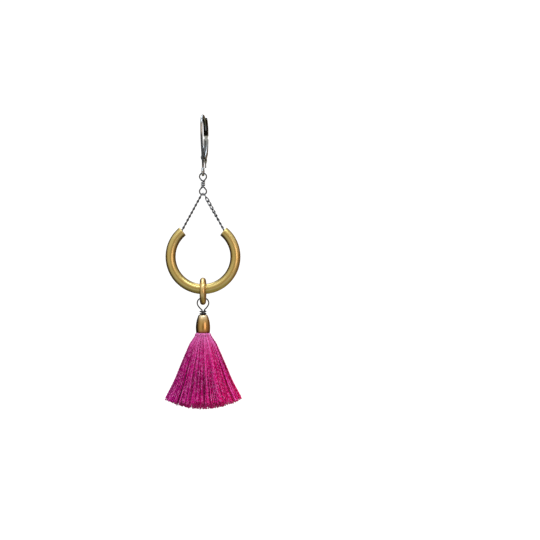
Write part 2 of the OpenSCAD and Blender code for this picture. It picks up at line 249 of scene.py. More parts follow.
class Net:
    """A shader's node tree, with a short way to add each kind of node that the finishes use."""

    def __init__(self, tree):
        self.tree = tree

    def join(self, sockets, values):
        """Links each value to its socket, or sets it there."""
        for socket, value in zip(sockets, values):
            if isinstance(value, bpy.types.NodeSocket):
                self.tree.links.new(value, socket)
            else:
                socket.default_value = value

    def fill(self, made, **inputs):
        """Joins values to a node's inputs by name, with underscores for spaces."""
        self.join([made.inputs[name.replace("_", " ")] for name in inputs], inputs.values())
        return made.outputs

    def add(self, kind, **inputs):
        return self.fill(self.tree.nodes.new("ShaderNode" + kind), **inputs)

    def calculate(self, operation, a, b, clamp=False):
        made = self.tree.nodes.new("ShaderNodeMath")
        made.operation = operation
        made.use_clamp = clamp
        self.join(made.inputs, (a, b))
        return made.outputs[0]

    def times(self, a, b):
        return self.calculate("MULTIPLY", a, b)

    def plus(self, a, b):
        return self.calculate("ADD", a, b)

    def most(self, a, b):
        return self.calculate("MAXIMUM", a, b)

    def mix(self, mask, a, b, blend="MIX"):
        """Mixes two colours. The node's colour sockets come after those for numbers and vectors."""
        made = self.tree.nodes.new("ShaderNodeMix")
        made.data_type = "RGBA"
        made.blend_type = blend
        self.join((made.inputs[0], made.inputs[6], made.inputs[7]), (mask, a, b))
        return made.outputs[2]

    def span(self, value, low, high, to_low=0.0, to_high=1.0):
        """Maps low..high to to_low..to_high, and holds it there outside."""
        made = self.tree.nodes.new("ShaderNodeMapRange")
        made.clamp = True
        self.join(made.inputs, (value, low, high, to_low, to_high))
        return made.outputs[0]

    def value(self, name):
        """A value that the mesh keeps at its points."""
        made = self.tree.nodes.new("ShaderNodeAttribute")
        made.attribute_name = name
        return made.outputs["Fac"]

    def noise(self, place, scale, detail, roughness=0.5):
        return self.add("TexNoise", Vector=place, Scale=scale, Detail=detail, Roughness=roughness)["Fac"]

    def bump(self, height, strength, distance):
        return self.add("Bump", Height=height, Strength=strength, Distance=distance)["Normal"]

    def camera_sees(self):
        return self.add("LightPath")["Is Camera Ray"]

    def place_group(self, group, **inputs):
        made = self.tree.nodes.new("ShaderNodeGroup")
        made.node_tree = group
        return self.fill(made, **inputs)["Mask"]


def mask_group(name, inputs, build):
    """A shader node group that puts out a mask, built once. inputs maps each name to its default."""
    if name in bpy.data.node_groups:
        return bpy.data.node_groups[name]
    tree = bpy.data.node_groups.new(name, "ShaderNodeTree")
    for label, default in inputs.items():
        socket = tree.interface.new_socket(name=label, in_out="INPUT", socket_type="NodeSocketFloat")
        socket.default_value = default
    tree.interface.new_socket(name="Mask", in_out="OUTPUT", socket_type="NodeSocketFloat")
    entry = tree.nodes.new("NodeGroupInput")
    leave = tree.nodes.new("NodeGroupOutput")
    tree.links.new(build(Net(tree), entry.outputs), leave.inputs["Mask"])
    return tree


def cloudy_stains():
    """Cloudy stains of two sizes."""
    def build(net, inputs):
        place = net.add("TexCoord")["Object"]
        large = net.noise(place, inputs["Scale"], 4.0, 0.6)
        small = net.noise(place, net.times(inputs["Scale"], 5.3), 3.0, 0.65)
        both = net.plus(net.times(large, 0.7), net.times(small, 0.3))
        above = net.calculate("SUBTRACT", both, inputs["Level"])
        return net.calculate("ADD", net.times(above, inputs["Contrast"]), 0.5, clamp=True)
    return mask_group("Cloudy Stains", {"Scale": 300.0, "Level": 0.5, "Contrast": 4.0}, build)


def polishing_scratches():
    """Fine polishing scratches that run in three directions."""
    def build(net, inputs):
        place = net.add("TexCoord")["Object"]
        lines = []
        for turn in (0.35, 1.45, 2.6):
            drawn_out = net.add("Mapping", Vector=place, Rotation=(turn, turn * 1.7, turn * 0.6),
                                Scale=(1.0, 14.0, 14.0))[0]
            lines.append(net.span(net.noise(drawn_out, inputs["Scale"], 2.0), 0.56, 0.7))
        return net.most(net.most(lines[0], lines[1]), lines[2])
    return mask_group("Polishing Scratches", {"Scale": 900.0}, build)


# Materials

def linear(red, green, blue):
    """A colour given in sRGB, from 0 to 255, as Blender's linear colour."""
    channels = [c / 255 for c in (red, green, blue)]
    return tuple(c / 12.92 if c <= 0.04045 else ((c + 0.055) / 1.055) ** 2.4 for c in channels) + (1.0,)


def new_material(name):
    material = bpy.data.materials.new(name)
    material.use_nodes = True
    return material, Net(material.node_tree), material.node_tree.nodes["Principled BSDF"]


def finish(build):
    """The material that a function builds, made on its first use and named after the function."""
    return bpy.data.materials.get(build.__name__) or build()


def handled_silver():
    """Polished silver with soft handling marks, darkened nearly black with painted shade in its hollows and
    where its mesh stores other darkening.
    """
    material, net, shader = new_material("handled_silver")
    marks = net.place_group(polishing_scratches(), Scale=700.0)
    stains = net.place_group(cloudy_stains(), Scale=260.0, Level=0.52, Contrast=3.0)
    clean = net.mix(stains, linear(190, 191, 191), linear(140, 141, 141))
    # Painted shade: the hollow value takes the silver towards near black
    silver_darkening = net.span(net.value("hollow"), 0.14, 0.46)
    net.fill(shader, Metallic=1.0, Base_Color=net.mix(silver_darkening, clean, linear(22, 21, 20)),
             Roughness=net.plus(net.times(marks, 0.06), net.span(stains, 0.0, 1.0, 0.1, 0.17)),
             Normal=net.bump(marks, 0.1, 0.000002))
    return material


def oxidised_silver():
    """Oxidised silver wire: nearly black, and brighter where its mesh marks worn places and painted
    highlights.
    """
    material, net, shader = new_material("oxidised_silver")
    marks = net.place_group(polishing_scratches(), Scale=1500.0)
    stains = net.place_group(cloudy_stains(), Scale=900.0, Level=0.5, Contrast=5.0)
    dull = net.mix(stains, linear(38, 38, 40), linear(62, 62, 65))
    # The brighter colour serves both for worn places and for painted highlights
    net.fill(shader, Metallic=1.0, Base_Color=net.mix(net.value("wear"), dull, linear(174, 175, 178)),
             Roughness=net.plus(net.times(stains, 0.16), 0.26), Normal=net.bump(marks, 0.25, 0.000006))
    return material


def satin_brass(name, settings, stain_scale, gloss, rubbed, blush=None):
    """Satin brass with a cloudy patina, dark spots, painted shade and other darkening where its mesh marks
    them, faint marks, bright worn edges and painted highlights.
    """
    material, net, shader = new_material(name)
    marks = net.place_group(polishing_scratches(), Scale=520.0)
    patina = net.place_group(cloudy_stains(), Scale=stain_scale, Level=0.5, Contrast=1.8)
    spots = net.place_group(cloudy_stains(), Scale=stain_scale * 14, Level=0.64, Contrast=9.0)
    colour = net.mix(patina, settings.bright, settings.dull)
    colour = net.mix(net.times(spots, 0.12), colour, settings.dark)
    # Painted shade, with some plain darkening, in the dark colour
    colour = net.mix(net.value("dirt"), colour, settings.dark)
    # Worn places and painted highlights, in the pale colour
    colour = net.mix(net.times(net.value("wear"), 0.8), colour, rubbed)
    # Painted reflection of the dye, tinting the colour at the rim
    if blush is not None:
        colour = net.mix(net.value("blush"), colour, blush, "MULTIPLY")
    net.fill(shader, Metallic=1.0, Base_Color=colour, Normal=net.bump(marks, 0.1, 0.000001),
             Roughness=net.plus(net.span(patina, 0.0, 1.0, gloss, gloss + 0.08), net.times(marks, 0.05)))
    return material


def glossy_silk(settings):
    """Glossy dyed thread: each strand has its own tone, with painted pale glints and painted shade in the
    hollows of its twist.
    """
    material, net, shader = new_material("glossy_silk")
    place = net.add("TexCoord")["Object"]
    across = net.span(net.add("SeparateXYZ", Vector=place)["X"], -0.009, 0.009)
    depth, tone = net.value("depth"), net.value("tone")

    # The dye, tinted violet on the left and red on the right to paint the light on each side, and a painted
    # sheen on the threads as they leave the cap
    colour = net.mix(across, settings.violet_side, settings.red_side)
    colour = net.mix(tone, colour, settings.light_thread)
    neck = net.calculate("POWER", net.span(depth, 0.6, 0.15), 2.5)
    sheen = net.times(neck, net.span(tone, 0.05, 0.5, 0.42, 1.0))
    colour = net.mix(sheen, colour, settings.neck_thread)

    # Shadows: cloudy zones, the twist's hollows and fine dark flecks, all weaker where light gets in
    shelter = net.times(net.span(neck, 0.0, 1.0, 1.0, 0.75), net.span(depth, 0.75, 1.0, 1.0, 0.4))
    shelter = net.times(shelter, net.span(across, 0.4, 1.0, 1.0, 0.6))
    bands = net.span(net.noise(place, 420.0, 3.0), 0.42, 0.62, 0.0, 0.3)
    zones = net.span(net.noise(place, 130.0, 1.0), 0.42, 0.6, 0.0, 0.5)
    patches = net.times(net.most(bands, zones), net.span(neck, 0.0, 0.3, 1.0, 0.0))
    drawn_out = net.add("Mapping", Vector=place, Scale=(1.0, 1.0, 0.4))[0]
    flecks = net.span(net.noise(drawn_out, 2300.0, 2.0, 0.6), 0.46, 0.34, 0.0, 0.6)
    for shadow in (patches, net.value("hollow"), flecks):
        colour = net.mix(net.times(shelter, shadow), colour, settings.deep_thread)

    # Painted glints on the plies' crests
    colour = net.mix(net.value("glint"), colour, settings.glint_thread)
    fibre = net.noise(place, 3600.0, 2.0)
    net.fill(shader, Base_Color=colour, Roughness=net.span(fibre, 0.3, 0.7, 0.26, 0.42),
             Specular_IOR_Level=0.42, Specular_Tint=linear(255, 60, 180),
             Normal=net.bump(fibre, 0.3, 0.00001))
    return material


# Leverback

HOOK_TURN = 7.5
BACK_RADIUS = 4.9
BACK_ANGLE = 78
FRONT_BULGE = 2.8
FRONT_TOP_RADIUS = 21.5
EAR_RING_RADIUS = 0.92
JOINT_SWELL = 0.5
JOINT_LENGTH = 0.35
EAR_WIRE_STEP = 0.14
EAR_WIRE_SIDES = 24
PIVOT = (1.1, -12.4)
LUG_WIDTH = 0.7
LUG_RADIUS = 0.62
LUG_HEIGHT = 1.0
LUG_EDGE = 0.09
LEVER_OUT = 5.6
LEVER_SHEET = 0.25
SHEET_EDGE = 0.07
SHEET_STEPS = 13
TROUGH_TOP = 55
TROUGH_BELOW = 0.8
TROUGH_FOOT = -5.5
BLADE_RADIUS = 22
BLADE_ANGLE = 14.21
BLADE_MIDDLE = (LEVER_OUT - BLADE_RADIUS, -BACK_RADIUS)
BLADE_FOOT = on_circle(BLADE_MIDDLE, BLADE_RADIUS, -BLADE_ANGLE)
ARM_DEPTH = 0.75
ARM_INNER_END = 0.72
TAIL_RADIUS = 12
TAIL_MIDDLE = on_circle(BLADE_FOOT, TAIL_RADIUS, -BLADE_ANGLE)
TAIL_FLICK = 10
TAIL_HALF_WIDTHS = ((0.7, 0.8), (2.3, 0.42), (3.1, 0.5), (3.9, 0.2), (7, 0.2))
FOLD_INSET = 0.06
FOLD_END = 0.3
WAIST_HALF_WIDTH = 0.5
WAIST_HALF_HEIGHT = 0.4
WAIST_EASE = 0.2
WAIST_MIDDLE = -6.25
EYE_RADIUS = 0.72
EYE_BORE = 0.32
EYE_SIDES = 40
EYE_SECTION = ((EYE_BORE, 0.05), (EYE_BORE + 0.05, 0), (EYE_RADIUS - 0.06, 0),
               (EYE_RADIUS - 0.02, 0.02), (EYE_RADIUS, 0.06))
RIVET_HEAD = 0.48
RIVET_SHANK = 0.28
RIVET_BULGE = 0.13
RIVET_SIDES = 32

# Painted shade on the leverback: how far metal shades metal, how dark the painted shade gets, and where it
# lies; and where the wire's front limb is darker
LEVER_SHADE_REACH = 2.2
LEVER_SHADE = 0.22
WIRE_SHADE_REACH = 1.0
RAY_LIFT = 0.02
SEAM_PLACE = -0.12
SEAM_WIDTH = 0.2
SEAM_SHADE = 0.5
LIMB_DARKENING = 0.38
LIMB_DARKENING_TOP = -4.4
LIMB_DARKENING_FOOT = -16.2
FRONT_LIMB_DEPTH = 0.8
TIP_SHADE = 0.34
TIP_SHADE_START = 2.2


def turned(points, angle=-HOOK_TURN):
    """Points turned about the vertical, as the ear wire hangs."""
    a = math.radians(angle)
    spin = np.array([[math.cos(a), -math.sin(a), 0], [math.sin(a), math.cos(a), 0], [0, 0, 1]])
    return np.asarray(points, float) @ spin.T


def ear_wire_path(ring_drop):
    """The ear wire in side view, from the small ring's top up the front and over to its tip."""
    front_drop = ring_drop - EAR_RING_RADIUS - FRONT_BULGE
    front_angle = math.degrees(2 * math.atan(FRONT_BULGE / front_drop))
    low_radius = front_drop / math.sin(math.radians(front_angle)) - FRONT_TOP_RADIUS
    low = arc((-low_radius, EAR_RING_RADIUS - ring_drop), low_radius, 0, front_angle, 30)
    top = arc((FRONT_TOP_RADIUS - FRONT_BULGE, -FRONT_BULGE), FRONT_TOP_RADIUS, 180 + front_angle, 180, 60)
    bulge = arc((0, -FRONT_BULGE), FRONT_BULGE, 180, 90, 40)
    back = arc((0, -BACK_RADIUS), BACK_RADIUS, 90, 90 - BACK_ANGLE, 60)
    return even(side_view(low + top[1:] + bulge[1:] + back[1:]), EAR_WIRE_STEP)


def sorted_loops(work):
    """The point numbers around each face of a bmesh, each from its lowest on, in order."""
    work.verts.index_update()
    loops = [[v.index for v in f.verts] for f in work.faces]
    return sorted(loop[loop.index(min(loop)):] + loop[:loop.index(min(loop))] for loop in loops)


def add_lug(shell, wire_y):
    """The lug behind the wire: a plate with rounded edges that carries the rivet."""
    half = LUG_HEIGHT / 2
    bite = math.degrees(math.asin(half / LUG_RADIUS))
    outline = [(wire_y, PIVOT[1] - half), *arc(PIVOT, LUG_RADIUS, bite - 180, 180 - bite, 28),
               (wire_y, PIVOT[1] + half)]
    work = bmesh.new()
    face = work.faces.new([work.verts.new((-LUG_WIDTH / 2, y, z)) for y, z in outline])
    grown = bmesh.ops.extrude_face_region(work, geom=[face])["geom"]
    for vert in (v for v in grown if isinstance(v, bmesh.types.BMVert)):
        vert.co.x = LUG_WIDTH / 2
    rims = [e for e in work.edges if e.verts[0].co.x == e.verts[1].co.x]
    bmesh.ops.bevel(work, geom=rims, offset=LUG_EDGE, segments=3, profile=0.5, affect="EDGES")
    # The bevel leaves its faces in a changing order, so they are laid again in a fixed one.
    loops = sorted_loops(work)
    bmesh.ops.delete(work, geom=work.faces[:], context="FACES_ONLY")
    work.verts.ensure_lookup_table()
    for loop in loops:
        work.faces.new([work.verts[i] for i in loop])
    bmesh.ops.triangulate(work, faces=work.faces[:])
    bmesh.ops.recalc_face_normals(work, faces=work.faces[:])
    corners = sorted_loops(work)
    points = turned([v.co for v in work.verts])
    work.free()
    shell.add(points, [[a, b, c, a] for a, b, c in corners])


def build_ear_wire(settings):
    """The ear wire, which swells where it meets its small ring, with that ring and the lug."""
    radius = settings.wire_diameter / MM / 2
    ring_drop = settings.ring_drop / MM
    shell = Shell()
    path, radii = rounded_tip(ear_wire_path(ring_drop), radius, 6)
    above_ring = np.linalg.norm(path - path[0], axis=1)
    shell.wire(turned(path), radii * (1 + JOINT_SWELL * bell(above_ring, 0, JOINT_LENGTH)), EAR_WIRE_SIDES)
    ring = side_view(arc((0, -ring_drop), EAR_RING_RADIUS, 90, 446, 90))
    shell.wire(turned(ring), radius, EAR_WIRE_SIDES, closed=True)
    beside_pivot = np.abs(path[:, 2] - PIVOT[1]) < 0.2
    add_lug(shell, min(path[beside_pivot, 1]))
    mesh = shell.mesh("leverback_wire")
    keep_crisp(piece(mesh, finish(handled_silver), "ear_wire", "ear_hook"))


def sheet_section():
    """A rounded rectangle's points: their places between the corner circles, and on those circles."""
    points = []
    along = np.linspace(0, 1, SHEET_STEPS)
    still = 0 * along
    walls = ((along, still), (1 + still, along), (along[::-1], 1 + still), (still, along[::-1]))
    for side, (u, v) in enumerate(walls):
        outward, *corner = [math.radians(90 * side - 90 + turn) for turn in (0, 30, 60)]
        points += [(x, y, math.cos(outward), math.sin(outward)) for x, y in zip(u, v)]
        points += [(u[-1], v[-1], math.cos(t), math.sin(t)) for t in corner]
    return np.array(points).T


def add_sheet(shell, outer, inner, low_x, high_x):
    """A sheet between two lines of a side view, joined point by point, with broken edges."""
    outer, inner = np.array(outer, float), np.array(inner, float)
    low_x, high_x = (np.broadcast_to(x, len(outer)) for x in (low_x, high_x))
    depth = np.linalg.norm(inner - outer, axis=1)
    inward = (inner - outer) / depth[:, None]
    along = unit(np.gradient((outer + inner) / 2, axis=0))
    order = [0, 0, *range(len(outer)), -1, -1]
    shrink = np.array([1, 0.3, *np.zeros(len(outer)), 0.3, 1]) * SHEET_EDGE
    u, v, x_out, depth_out = sheet_section()
    rings = []
    for i, inset in zip(order, shrink):
        edge = SHEET_EDGE
        x = (1 - u) * (low_x[i] + edge) + u * (high_x[i] - edge) + x_out * (edge - inset)
        down = (1 - v) * edge + v * (depth[i] - edge) + depth_out * (edge - inset)
        rings.append(np.column_stack([x, outer[i] + down[:, None] * inward[i]]))
    rings = np.array(rings)
    rings[0] -= np.append(0, along[0]) * SHEET_EDGE * 0.5
    rings[-1] += np.append(0, along[-1]) * SHEET_EDGE * 0.5
    shell.grid(turned(rings))


def lever_line(inset):
    """The lever's back in side view, from the trough's top down over the blade to the tail, moved in."""
    trough = arc((0, -BACK_RADIUS), LEVER_OUT - inset, TROUGH_TOP, 0, 24)
    blade = arc(BLADE_MIDDLE, BLADE_RADIUS - inset, 0, -BLADE_ANGLE, 30)
    tail = arc(TAIL_MIDDLE, TAIL_RADIUS + inset, 180 - BLADE_ANGLE, 180 + TAIL_FLICK, 34)
    return np.array(trough + blade[1:] + tail[1:])


def lever_half_width(height, half):
    """Half of the lever's width at each height: set in beside the folds, at the waist and down the tail."""
    below = BLADE_FOOT[1] - height
    width = np.minimum(half, np.interp(below, *np.array(TAIL_HALF_WIDTHS).T))
    width = width - FOLD_INSET * (below < FOLD_END)
    waist = ramp(np.abs(height - WAIST_MIDDLE), WAIST_HALF_HEIGHT + WAIST_EASE / 2, -WAIST_EASE)
    return width + (WAIST_HALF_WIDTH - width) * waist


def trough_line(radius):
    """A line of the trough's side walls in side view."""
    return arc((0, -BACK_RADIUS), radius, TROUGH_TOP, 0, 30) + [(radius, -BACK_RADIUS - TROUGH_BELOW)]


def arm_line(depth, end, eye_side):
    """A line of the lever's arms in side view: down along the blade, then straight to a side of the eye."""
    blade = np.array(arc(BLADE_MIDDLE, BLADE_RADIUS - depth, -BLADE_ANGLE / 3, -BLADE_ANGLE * end, 24))
    lean = math.degrees(math.atan2(BLADE_FOOT[1] - PIVOT[1], BLADE_FOOT[0] - PIVOT[0]))
    eye = np.array(on_circle(PIVOT, EYE_RADIUS * 0.9, lean + eye_side))
    reach = np.linspace(0, 1, 20)[1:, None]
    return np.vstack([blade, blade[-1] * (1 - reach) + eye * reach])


def eye_rings(low_x, high_x):
    """The rings of points of the eye at an arm's end, round the pivot."""
    section = [(r, low_x + x) for r, x in EYE_SECTION]
    section += [(r, high_x - x) for r, x in reversed(EYE_SECTION)]
    return np.array([[(x, PIVOT[0] + r * math.cos(t), PIVOT[1] + r * math.sin(t)) for t in around(EYE_SIDES)]
                     for r, x in reversed(section)])


def shading(mesh, walls, reach, rays=36):
    """For each point, the share of the directions out of the surface that meet metal within reach."""
    corners, faces = [], []
    for wall in walls:
        faces += [[len(corners) + i for i in face.vertices] for face in wall.polygons]
        corners += [v.co.copy() for v in wall.vertices]
    tree = BVHTree.FromPolygons(corners, faces)
    rise = (np.arange(rays) + 0.5) / rays
    flat = np.sqrt(1 - rise ** 2)
    turn = np.arange(rays) * GOLDEN_ANGLE
    fan = [Vector(d) for d in np.column_stack([flat * np.cos(turn), flat * np.sin(turn), rise])]
    shares = []
    for vert in mesh.vertices:
        stand = vert.normal.to_track_quat("Z", "Y")
        start = vert.co + vert.normal * RAY_LIFT * MM
        met = sum(tree.ray_cast(start, stand @ d, reach * MM)[0] is not None for d in fan)
        shares.append(met / rays)
    return np.array(shares)


def tarnish_lever(lever, wire, half):
    """Paints shade into the lever: nearly black in its trough, darker in its hollows and down the seam of
    its blade, but not at its waist.
    """
    x, y, z = turned(points_of(lever), HOOK_TURN).T
    inside = (np.hypot(y, z + BACK_RADIUS) < LEVER_OUT - 0.1) & (np.abs(x) < half - 0.05)
    # Painted shade down the seam in the middle of the blade
    seam = bell(x, SEAM_PLACE, SEAM_WIDTH) * ramp(z, WAIST_MIDDLE - 0.5, -0.3)
    shaded = np.minimum(shading(lever, [lever, wire], LEVER_SHADE_REACH), LEVER_SHADE)
    silver_darkening = np.maximum(shaded, SEAM_SHADE * seam) * (1 - bell(z, WAIST_MIDDLE, 0.5))
    # Painted shade: the inside of the trough is made nearly black
    store(lever, "hollow", np.where(inside & (z > TROUGH_FOOT), 1.0, silver_darkening))


def tarnish_wire(wire, lever):
    """Darkens the ear wire's front limb, and paints shade on its tip and where the lever shades it."""
    _, depth, height = points_of(wire).T
    # The front limb is darker, from its top down to its foot
    limb = ramp(height, LIMB_DARKENING_TOP, -1.6) * ramp(height, LIMB_DARKENING_FOOT, 1.5)
    limb *= depth < FRONT_LIMB_DEPTH
    # Painted shade on the tip, which lies in the lever's trough
    silver_darkening = np.maximum(LIMB_DARKENING * limb, TIP_SHADE * ramp(depth, TIP_SHADE_START, 0.6))
    # Painted shade where the lever shades the wire
    store(wire, "hollow", np.maximum(shading(wire, [wire, lever], WIRE_SHADE_REACH), silver_darkening))


def build_lever(settings):
    """The lever: a folded sheet with a trough, a narrow waist, a bowed blade, two eyes and a thumb tail."""
    half = settings.lever_width / MM / 2
    shell = Shell()
    back = lever_line(0)
    width = lever_half_width(back[:, 1], half)
    add_sheet(shell, back, lever_line(LEVER_SHEET), -width, width)
    for side in (-1, 1):
        low_x, high_x = sorted((side * half, side * (half - LEVER_SHEET)))
        add_sheet(shell, trough_line(LEVER_OUT), trough_line(BACK_RADIUS), low_x, high_x)
        add_sheet(shell, arm_line(0, 1, -90), arm_line(ARM_DEPTH, ARM_INNER_END, 90), low_x, high_x)
        shell.grid(turned(eye_rings(low_x, high_x)), closed=True)
    mesh = shell.mesh("leverback_lever")
    wire = bpy.data.objects["leverback_wire"].data
    tarnish_lever(mesh, wire, half)
    keep_crisp(piece(mesh, finish(handled_silver), "lever", "lever"))
    tarnish_wire(wire, mesh)


def build_rivet(settings):
    """The rivet's two domed heads and its shank."""
    low, high = node_box("lever_rivet")
    turn = math.radians(HOOK_TURN)
    axis = np.array([math.cos(turn), -math.sin(turn), 0])
    across, up = np.cross(axis, [0, 0, 1]), np.array([0, 0, 1.0])
    half = settings.rivet_length / MM / 2
    flat = half - RIVET_BULGE
    dome = [(RIVET_HEAD * math.cos(a), flat + RIVET_BULGE * math.sin(a))
            for a in np.linspace(0, math.pi / 2, 9)]
    outline = [(RIVET_SHANK, 0), (RIVET_SHANK, flat), (RIVET_HEAD * 0.97, flat), *dome]
    shell = Shell()
    for side in (1, -1):
        rings = [[(low + high) / 2 + side * axis * h + r * (math.cos(t) * across + side * math.sin(t) * up)
                  for t in around(RIVET_SIDES)] for r, h in outline]
        shell.grid(np.array(rings)[:, ::-1])
    mesh = shell.mesh("leverback_rivet")
    keep_crisp(piece(mesh, finish(handled_silver), "ear_wire", "lever_rivet"))


# Dark wires and chain

DARK_WIRE_STEP = 0.06
DARK_WIRE_SIDES = 16
LOOP_RADIUS = 1.04
LINK_CORE = ((0, 0, 0.12), (0, 0, -0.3), (0, 0, -0.6), (-0.05, 0, -0.84), (-0.3, 0, -1.07))
LOOP_END = (0.57, -0.05, -1.34)
WRAP_RADIUS = 0.49
WRAP_PITCH = 0.59
WRAP_TURNS = 1.6
WRAP_FOOT = -1.1
FIRST_RISE = 0.22
WRAPS_HALF_HEIGHT = 1.25
# The wraps' crests are worn bright, which also paints their highlights
CREST_WEAR_AND_HIGHLIGHT = 0.6
CREST_START = 0.06
CREST_WIDTH = 0.12
WIRE_WEAR = 0.12
BEND_WEAR = 0.17


def wrap_point(radius, turns, z):
    a = 2 * math.pi * turns
    return (radius * math.cos(a), -radius * math.sin(a), z)


def level_wraps(turns):
    """Turns done when each wrap lies level in front and climbs behind."""
    climb = min(max(turns % 1 - 0.5, 0) / 0.5, 1)
    return math.floor(turns) + climb * climb * (3 - 2 * climb)


def wire_wear(path):
    """How worn a wire is along its length: more on its outer bends."""
    out = np.abs(path[:, 0])
    return WIRE_WEAR + BEND_WEAR * (out / out.max()) ** 2


def half_link(loop_drop):
    """Half of the link, from its middle down the core, round the loop, and up the wraps."""
    loop = front_view(arc((0, -loop_drop), LOOP_RADIUS, 135, 405, 12))
    wraps = []
    for turns in np.linspace(0, WRAP_TURNS, 33)[1:]:
        rise = WRAP_FOOT + 2 * FIRST_RISE * min(turns, 0.5) + WRAP_PITCH * level_wraps(turns)
        wraps.append(wrap_point(WRAP_RADIUS, turns, rise))
    return smooth([*LINK_CORE, *loop, LOOP_END, *wraps], 10)


def build_wrapped_link(settings):
    """The wrapped link: its lower half, and the same half turned over for the upper one."""
    radius = settings.wire_diameter / MM / 2
    low, high = node_box("wrapped_link")
    middle = (high[2] + low[2]) / 2
    half = half_link((high[2] - low[2]) / 2 - radius - LOOP_RADIUS)
    shell = Shell()
    for way in (-1, 1):
        path = even(half * (way, 1, way), DARK_WIRE_STEP) + (0, 0, middle)
        path, radii = rounded_tip(path, radius, 4)
        shell.wire(path, radii, DARK_WIRE_SIDES, wear=wire_wear(path))
    mesh = shell.mesh("wrapped_link_wire")
    x, y, z = points_of(mesh).T
    # Crests of the wraps: worn bright, and painted as highlights too
    crest = ramp(np.hypot(x, y), WRAP_RADIUS + CREST_START, CREST_WIDTH)
    crest *= ramp(np.abs(z - middle), WRAPS_HALF_HEIGHT, -0.3)
    store(mesh, "wear", np.maximum(stored(mesh, "wear"), crest * CREST_WEAR_AND_HIGHLIGHT))
    piece(mesh, finish(oxidised_silver), "link", "wrapped_link")


HALF_CHAIN_LINKS = 28
LINK_POINTS = 28
END_LINK_RADIUS = 0.46
CHAIN_PATH_INSET = 0.695
CHAIN_END_HOLD = 0.505
CHAIN_LINK_PLAY = 0.45
STRAND_START = 0.44
CHAIN_WIRE = 0.29
CHAIN_WIRE_SIDES = 10
LINK_TWIST = math.radians(90)
OPEN_SLANT = math.radians(25)
OPEN_LINKS = 2
EASING_LINKS = 5
LINK_WEAR = 0.05
FLANK_START = 0.75
FLANK_WEAR = 1.2


class ChainRoute:
    """The chain's centre line: round inside the hoop's bore, then straight up to the wrapped link."""

    def __init__(self, hoop, link_foot):
        self.middle = hoop["middle"]
        self.radius = hoop["radius"] - hoop["bore"] + CHAIN_PATH_INSET
        top_z = link_foot + LOOP_RADIUS - math.sqrt(LOOP_RADIUS ** 2 - STRAND_START ** 2)
        top = np.array([STRAND_START, top_z])
        reach = np.hypot(STRAND_START, top_z - self.middle)
        angle = math.acos(self.radius / reach) + math.atan(STRAND_START / (top_z - self.middle))
        self.foot = self.radius * np.array([math.sin(angle), math.cos(angle)]) + (0, self.middle)
        self.arc = self.radius * (math.pi - angle)
        self.ahead = unit(top - self.foot)
        length = self.arc + np.linalg.norm(top - self.foot)
        self.pitch = (length + CHAIN_END_HOLD - CHAIN_LINK_PLAY / 2) / HALF_CHAIN_LINKS

    def half_length(self, wire):
        """Half of a link's length, to the middle of its wire."""
        return (self.pitch + CHAIN_LINK_PLAY) / 2 + (CHAIN_WIRE - wire) / 2

    def heading(self, run):
        reach = self.pitch / 3
        return unit(self.point(run + reach) - self.point(abs(run - reach)))

    def point(self, run):
        if run >= self.arc:
            return self.foot + (run - self.arc) * self.ahead
        a = run / self.radius
        return np.array([self.radius * math.sin(a), self.middle - self.radius * math.cos(a)])


def link_loop(half_length, radius):
    """One link's centre line as it lies flat, with x along the chain."""
    turns = np.linspace(-math.pi / 2, math.pi / 2, 11)
    end = np.column_stack([half_length - radius + radius * np.cos(turns), radius * np.sin(turns)])
    closed = np.vstack([end, -end, end[:1]])
    run = np.concatenate([[0], np.cumsum(np.hypot(*np.diff(closed, axis=0).T))])
    marks = np.linspace(0, run[-1], LINK_POINTS + 1)[:-1]
    return np.column_stack([np.interp(marks, run, closed[:, k]) for k in (0, 1)])


def build_chain(settings):
    """A curb chain: every link is twisted a quarter turn, so that it lies at a slant to the next."""
    wire = settings.chain_wire_diameter / MM
    link_foot = node_box("wrapped_link")[0][2] + settings.wire_diameter / MM / 2
    route = ChainRoute(hoop_sizes(), link_foot)
    half_length = route.half_length(wire)
    shell = Shell()
    for side in (-1, 1):
        for index in range(HALF_CHAIN_LINKS):
            run = (index + 0.5) * route.pitch
            place, step = route.point(run), route.heading(run)
            middle = np.array([side * place[0], 0, place[1]])
            ahead = np.array([side * step[0], 0, step[1]])
            level = np.array([-step[1], 0, side * step[0]])
            radius, slant, twist = settings.link_radius / MM, settings.slant, LINK_TWIST
            from_end = HALF_CHAIN_LINKS - 1 - index
            if side > 0:
                easing = min(max(from_end - OPEN_LINKS, 0) / EASING_LINKS, 1)
                slant = OPEN_SLANT + (slant - OPEN_SLANT) * easing
            if from_end == 0:
                radius, slant, twist = END_LINK_RADIUS, math.radians(90), 0
            loop = link_loop(half_length, radius)
            turn = slant + twist * loop[:, :1] / (2 * half_length)
            across = np.cos(turn) * level + np.sin(turn) * np.array([0, 1.0, 0])
            path = middle + loop[:, :1] * ahead + loop[:, 1:] * across
            flank = np.maximum(np.abs(loop[:, 1]) / radius - FLANK_START, 0)
            shell.wire(path, wire / 2, CHAIN_WIRE_SIDES, closed=True, wear=LINK_WEAR + FLANK_WEAR * flank)
    piece(shell.mesh("curb_chain"), finish(oxidised_silver), "hoop", "chain")


# Brass hoop, ring and cap

HOOP_BORE = 1.13
HOOP_STEPS = 220
HOOP_SIDES = 56
LIP_STEPS = 4
RING_STEPS = 120
RING_SIDES = 48

# Darkening, painted shade and worn places on hoop and ring, from 0 to 1, and how far they reach from the
# hoop's ends
BORE_DARKENING = 0.85
HOOP_INNER_SHADE = 0.5
END_SHADE = 0.9
END_SHADE_REACH = 6
LIP_WEAR = 0.9
END_WEAR = 0.3
END_WEAR_REACH = 0.4
RING_INNER_SHADE = 0.6
RING_OUTER_WEAR = 0.4


